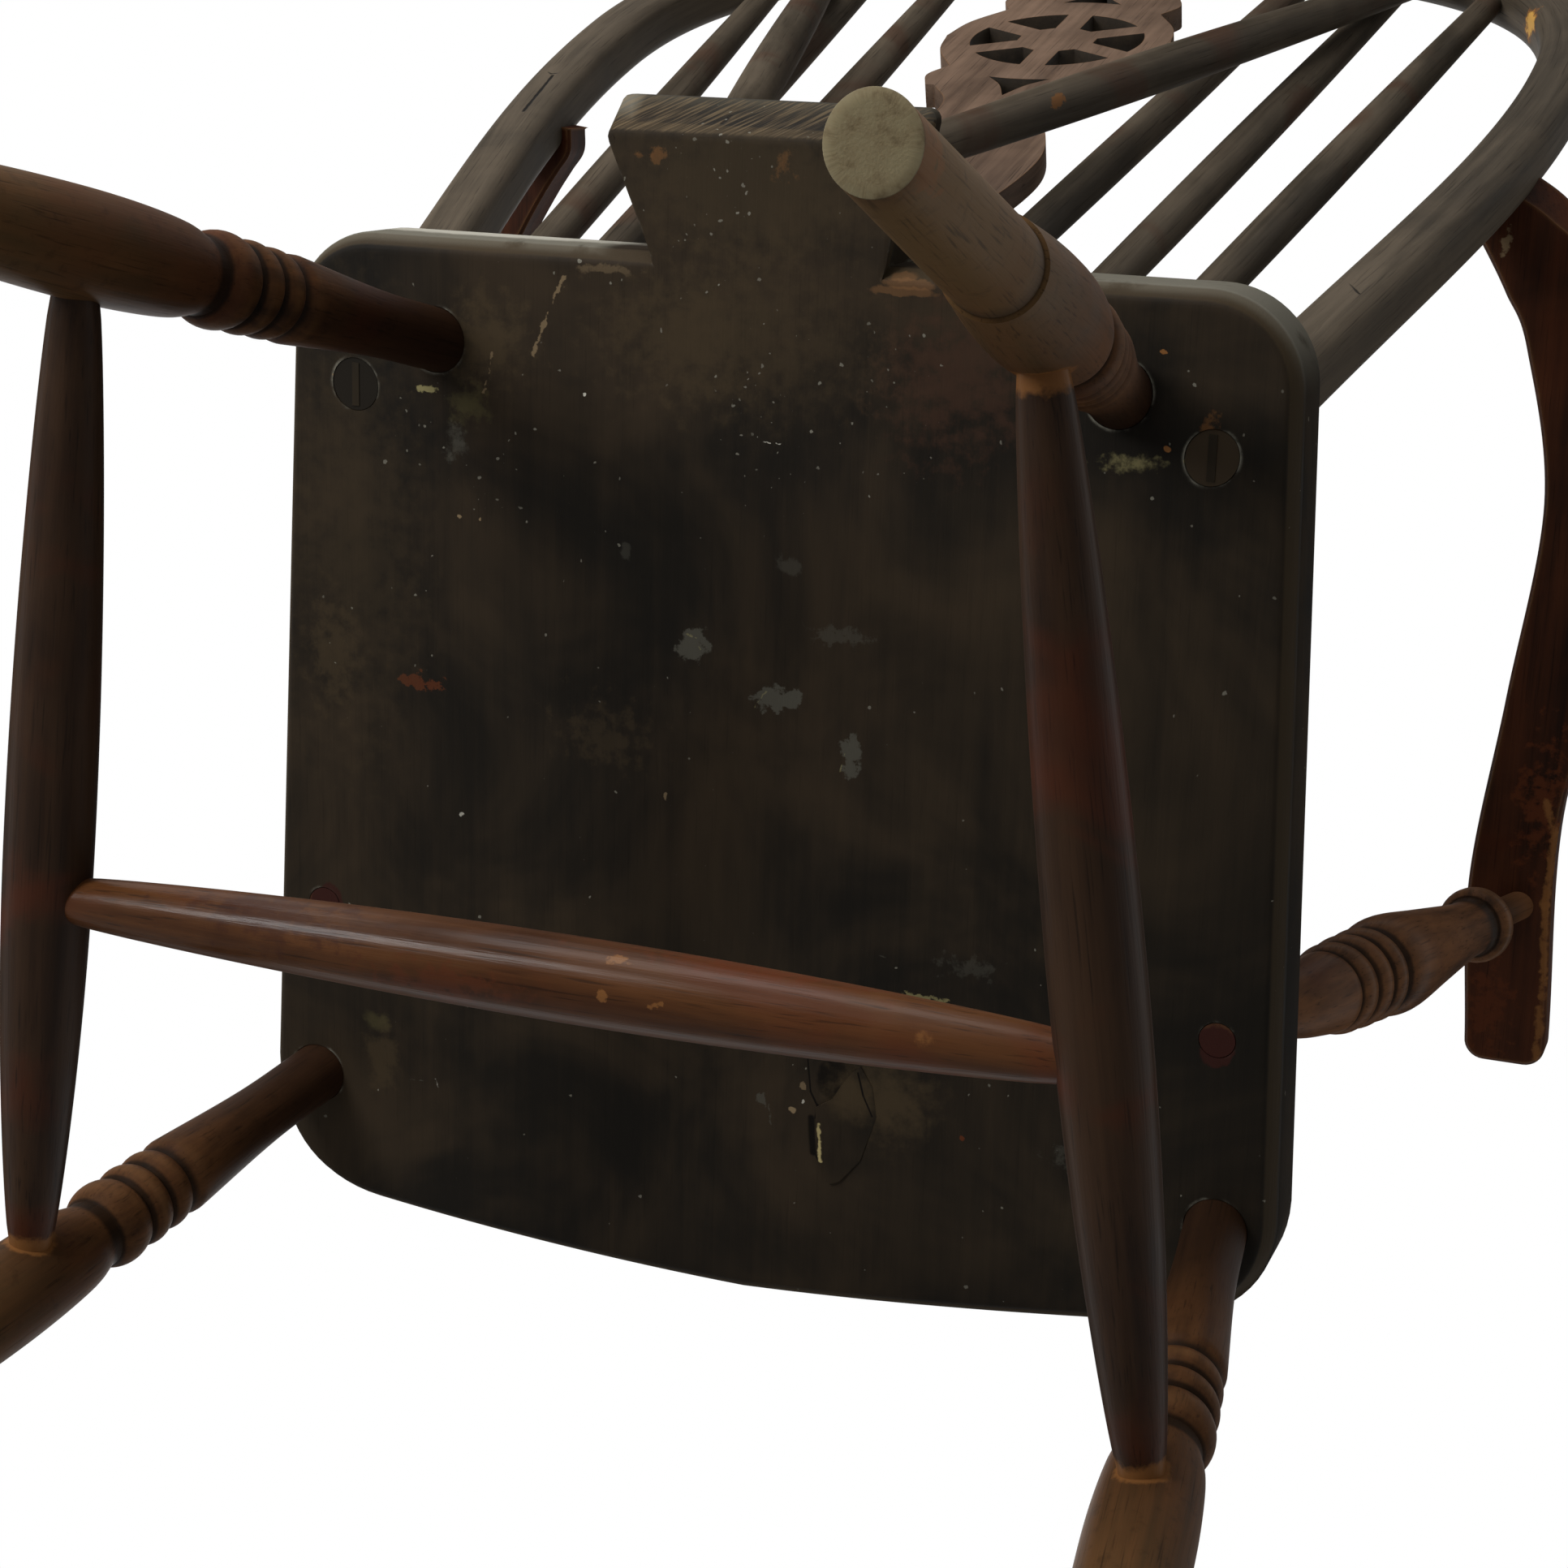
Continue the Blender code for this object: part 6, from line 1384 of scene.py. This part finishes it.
class ARMCHAIR_OT_sticks(bpy.types.Operator):
    """Turn the six spindles and the two braces of the back"""
    bl_idname = "armchair.sticks"
    bl_label = "Sticks"

    def execute(self, context):
        sizes = context.scene.armchair_turning
        material = wood("stick_stain", "back_dark", "back_light", roughness=0.55, specular=0.05,
                        red="stick_red", patches=STICK_WEAR)
        sticks = [(f"spindle_{name}_{place}", (sizes.spindle_foot, sizes.spindle_belly, sizes.spindle_head))
                  for name in SIDES for place in SPINDLES]
        sticks += [(f"brace_{name}", (sizes.brace_foot, sizes.brace_belly, sizes.brace_head)) for name in SIDES]
        for number, (node, radii) in enumerate(sticks):
            start, end = axis_of(node)
            length = (end - start).length
            profile = swelling(0.0, length - STICK_HEAD, radii, STICK_BELLY_SHARE, STICK_FULLNESS)
            bm = spin_turning(start, end, profile + [(length, radii[2])], STICK_GRAIN * number)
            finish_piece(f"turned_{node}", bm, [material], [node])
        return {"FINISHED"}


class ARMCHAIR_OT_splat(bpy.types.Operator):
    """Saw and pierce the wheel splat"""
    bl_idname = "armchair.splat"
    bl_label = "Wheel splat"

    def execute(self, context):
        boards = context.scene.armchair_boards
        bm, grain, _ = new_piece()
        edge = splat_edge()
        outline = edge + [mirrored(point) for point in reversed(edge)]
        loops = [outline] + [wheel_hole(boards, number) for number in range(WHEEL_HOLES)]
        loops += [spandrel(1), spandrel(-1)]
        lower = -0.5 * boards.splat_thickness
        edges = []
        for loop in loops:
            edges += add_ring(bm, [Vector((point.x, point.y, lower)) for point in loop])
        bmesh.ops.triangle_fill(bm, edges=edges, use_beauty=True, use_dissolve=False)
        made = bmesh.ops.extrude_face_region(bm, geom=bm.faces[:])["geom"]
        lifted = [item for item in made if isinstance(item, bmesh.types.BMVert)]
        bmesh.ops.translate(bm, vec=UP * boards.splat_thickness, verts=lifted)
        bmesh.ops.recalc_face_normals(bm, faces=bm.faces)
        rims = [item for item in bm.edges if len(item.link_faces) == 2 and item.calc_face_angle() > SAWN_ANGLE
                and abs(item.verts[0].co.z - item.verts[1].co.z) < DOUBLE]
        soften(bm, rims, 0.5 * boards.arris)
        hub = Vector((0.0, SPLAT_HUB)) * splat_scale()
        for face in bm.faces:
            apart = face.calc_center_median().to_2d() - hub
            in_wheel = apart.length < WHEEL_REACH * boards.wheel_hole * splat_scale()
            in_spandrel = (abs(apart.x) < SPANDREL_REACH[0] * SPANDREL_HALF
                           and abs(apart.y) > SPANDREL_REACH[1] * SPANDREL_DROP)
            if abs(face.normal.z) < WALL_TILT and (in_wheel or in_spandrel):
                face.material_index = 1
        lay_grain(bm, grain)
        bmesh.ops.transform(bm, matrix=splat_matrix(), verts=bm.verts)
        face_finish = wood("splat_stain", "splat_dark", "splat_light", roughness=0.55, specular=0.06,
                           arris=0.0012, rub=0.6)
        walls = wood("fretted_walls", "grime", "seat_light", roughness=0.6, specular=0.2)
        finish_piece("pierced_splat", bm, [face_finish, walls], ["splat"])
        return {"FINISHED"}


class ARMCHAIR_OT_arms(bpy.types.Operator):
    """Saw and round the two curved arms"""
    bl_idname = "armchair.arms"
    bl_label = "Arms"

    def execute(self, context):
        boards = context.scene.armchair_boards
        material = wood("arm_stain", "arm_dark", "arm_light", roughness=0.40, specular=0.05, red="arm_red",
                        arris=0.003, rub=0.62, patches=ARM_WEAR, lines=ARM_LINES)
        under, top = boards.arm_under_round, boards.arm_top_round
        for name, side in SIDES.items():
            low, high = (corner.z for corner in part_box(f"arm_{name}"))
            outline, bevels = arm_outline()
            count = len(outline)
            cuts = [max(under, bevel) for bevel in bevels]
            rises = [under + (ARM_BEVEL_RISE - under) * bevel / ARM_BEVEL_IN for bevel in bevels]
            rows = [([width + UNDER_BAND for width in cuts], [low] * count), (cuts, [low] * count),
                    ([0.0] * count, [low + rise for rise in rises])]
            for angle in range(0, 90 + ROUND_STEP, ROUND_STEP):
                turn = math.radians(angle)
                rows.append(([top * (1.0 - math.cos(turn))] * count, [high - top * (1.0 - math.sin(turn))] * count))
            rows.append(([top + UNDER_BAND] * count, [high] * count))
            bm, grain, _ = new_piece()
            rings = [level(inset(outline, [0.0] + distances[1:-1] + [0.0]), heights) for distances, heights in rows]
            soften_turns(bm, skin(bm, rings)[1:3], 0.5 * boards.arris)
            bmesh.ops.scale(bm, vec=(side, 1.0, 1.0), verts=bm.verts)
            lay_grain(bm, grain, ARM_GRAIN * side)
            finish_piece(f"sawn_arm_{name}", bm, [material], [f"arm_{name}"])
        return {"FINISHED"}


class ARMCHAIR_OT_small_joinery(bpy.types.Operator):
    """Finish the wedges of the bow's tenons and the hidden dowels of the arms"""
    bl_idname = "armchair.small_joinery"
    bl_label = "Wedges and dowels"

    def execute(self, context):
        material = wood("wedge_wood", "seat_dark", "umber", roughness=0.6, specular=0.06)
        for node in [f"{kind}_{name}" for kind in ("bow_wedge", "arm_dowel") for name in SIDES]:
            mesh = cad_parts[node].data
            mesh.materials.clear()
            mesh.materials.append(material)
        return {"FINISHED"}


class ARMCHAIR_OT_stage(bpy.types.Operator):
    """Set the pale floor, the soft lamps, the white background and the camera"""
    bl_idname = "armchair.stage"
    bl_label = "Stage"

    def execute(self, context):
        scene = context.scene
        stage = scene.armchair_stage
        material = bpy.data.materials.new("floor_paint")
        material.use_nodes = True
        tree = material.node_tree
        shader = tree.nodes["Principled BSDF"]
        clear = shader_node(tree, "ShaderNodeBsdfTransparent").outputs[0]
        back = shader_node(tree, "ShaderNodeNewGeometry").outputs["Backfacing"]
        rays = shader_node(tree, "ShaderNodeLightPath").outputs
        away = vector_node(tree, "LENGTH", shader_node(tree, "ShaderNodeTexCoord").outputs["Object"], output="Value")
        white = ramp_node(tree, away, *FLOOR_WHITE, stage.floor_glow, 1.0)
        set_inputs(tree, shader, {"Base Color": opaque(stage.floor_colour), "Roughness": FLOOR_ROUGHNESS,
                                  "Emission Strength": math_node(tree, "MULTIPLY", white, rays["Is Camera Ray"])})
        mixed = shader_node(tree, "ShaderNodeMixShader", {0: math_node(tree, "MAXIMUM", back, rays["Is Shadow Ray"]),
                                                          1: shader.outputs[0], 2: clear})
        tree.links.new(mixed.outputs[0], tree.nodes["Material Output"].inputs["Surface"])
        bm = bmesh.new()
        bmesh.ops.create_grid(bm, x_segments=1, y_segments=1, size=FLOOR_HALF,
                              matrix=Matrix.Translation(-FLOOR_GAP * UP))
        floor = put("floor", mesh_of("floor", bm, [material]))

        for name, (sides, place) in LAMPS.items():
            lamp = bpy.data.lights.new(f"{name}_lamp", "AREA")
            lamp.energy = getattr(stage, f"{name}_power")
            lamp.shape = "RECTANGLE"
            lamp.size, lamp.size_y = sides
            holder = put(f"{name}_lamp", lamp)
            holder.location = place
            holder.rotation_mode = "QUATERNION"
            holder.rotation_quaternion = (LAMP_AIM - Vector(place)).to_track_quat("-Z", "Y")

        world = bpy.data.worlds.new("studio")
        scene.world = world
        world.use_nodes = True
        tree = world.node_tree
        rays = shader_node(tree, "ShaderNodeLightPath").outputs
        seen = math_node(tree, "MAXIMUM", math_node(tree, "MAXIMUM", rays["Is Camera Ray"], rays["Is Glossy Ray"]),
                         rays["Is Transmission Ray"])
        strength = math_node(tree, "MULTIPLY_ADD", seen, 1.0 - stage.sky, stage.sky)
        set_inputs(tree, tree.nodes["Background"], {"Color": (1.0, 1.0, 1.0, 1.0), "Strength": strength})

        camera = bpy.data.cameras.new("camera")
        camera.lens = CAMERA_LENS
        camera.sensor_width = CAMERA_SENSOR
        camera.shift_x, camera.shift_y = CAMERA_SHIFT
        camera.clip_start = CAMERA_CLIP
        axes = Matrix((CAMERA_RIGHT, -Vector(CAMERA_DOWN), -Vector(CAMERA_AHEAD))).transposed().to_4x4()
        axes.translation = CAMERA_PLACE
        holder = put("camera", camera)
        holder.matrix_world = axes
        scene.camera = holder
        scene.view_settings.view_transform = "Standard"
        return {"FINISHED"}


class ARMCHAIR_PT_pieces(bpy.types.Panel):
    """Lists the steps that build the armchair"""
    bl_idname = "ARMCHAIR_PT_pieces"
    bl_label = "Wheel-back armchair"
    bl_space_type = "VIEW_3D"
    bl_region_type = "UI"
    bl_category = "Armchair"

    def draw(self, context):
        for operator in OPERATORS:
            self.layout.operator(operator.bl_idname)
        for name in PROPERTY_GROUPS:
            group = getattr(context.scene, name)
            column = self.layout.column(heading=name)
            for key in group.__annotations__:
                column.prop(group, key)


OPERATORS = (ARMCHAIR_OT_seat, ARMCHAIR_OT_splinter, ARMCHAIR_OT_legs, ARMCHAIR_OT_stretchers,
             ARMCHAIR_OT_posts, ARMCHAIR_OT_bow, ARMCHAIR_OT_sticks, ARMCHAIR_OT_splat, ARMCHAIR_OT_arms,
             ARMCHAIR_OT_small_joinery, ARMCHAIR_OT_stage)
PROPERTY_GROUPS = {"armchair_turning": ArmchairTurning, "armchair_boards": ArmchairBoards,
                   "armchair_finish": ArmchairFinish, "armchair_stage": ArmchairStage}


def register():
    for name, group in PROPERTY_GROUPS.items():
        bpy.utils.register_class(group)
        setattr(bpy.types.Scene, name, PointerProperty(type=group))
    for kind in OPERATORS + (ARMCHAIR_PT_pieces,):
        bpy.utils.register_class(kind)


def unregister():
    for kind in reversed(OPERATORS + (ARMCHAIR_PT_pieces,)):
        bpy.utils.unregister_class(kind)
    for name, group in PROPERTY_GROUPS.items():
        delattr(bpy.types.Scene, name)
        bpy.utils.unregister_class(group)


def main():
    register()
    for operator in OPERATORS:
        area, step = operator.bl_idname.split(".")
        getattr(getattr(bpy.ops, area), step)()


if __name__ == "__main__":
    main()
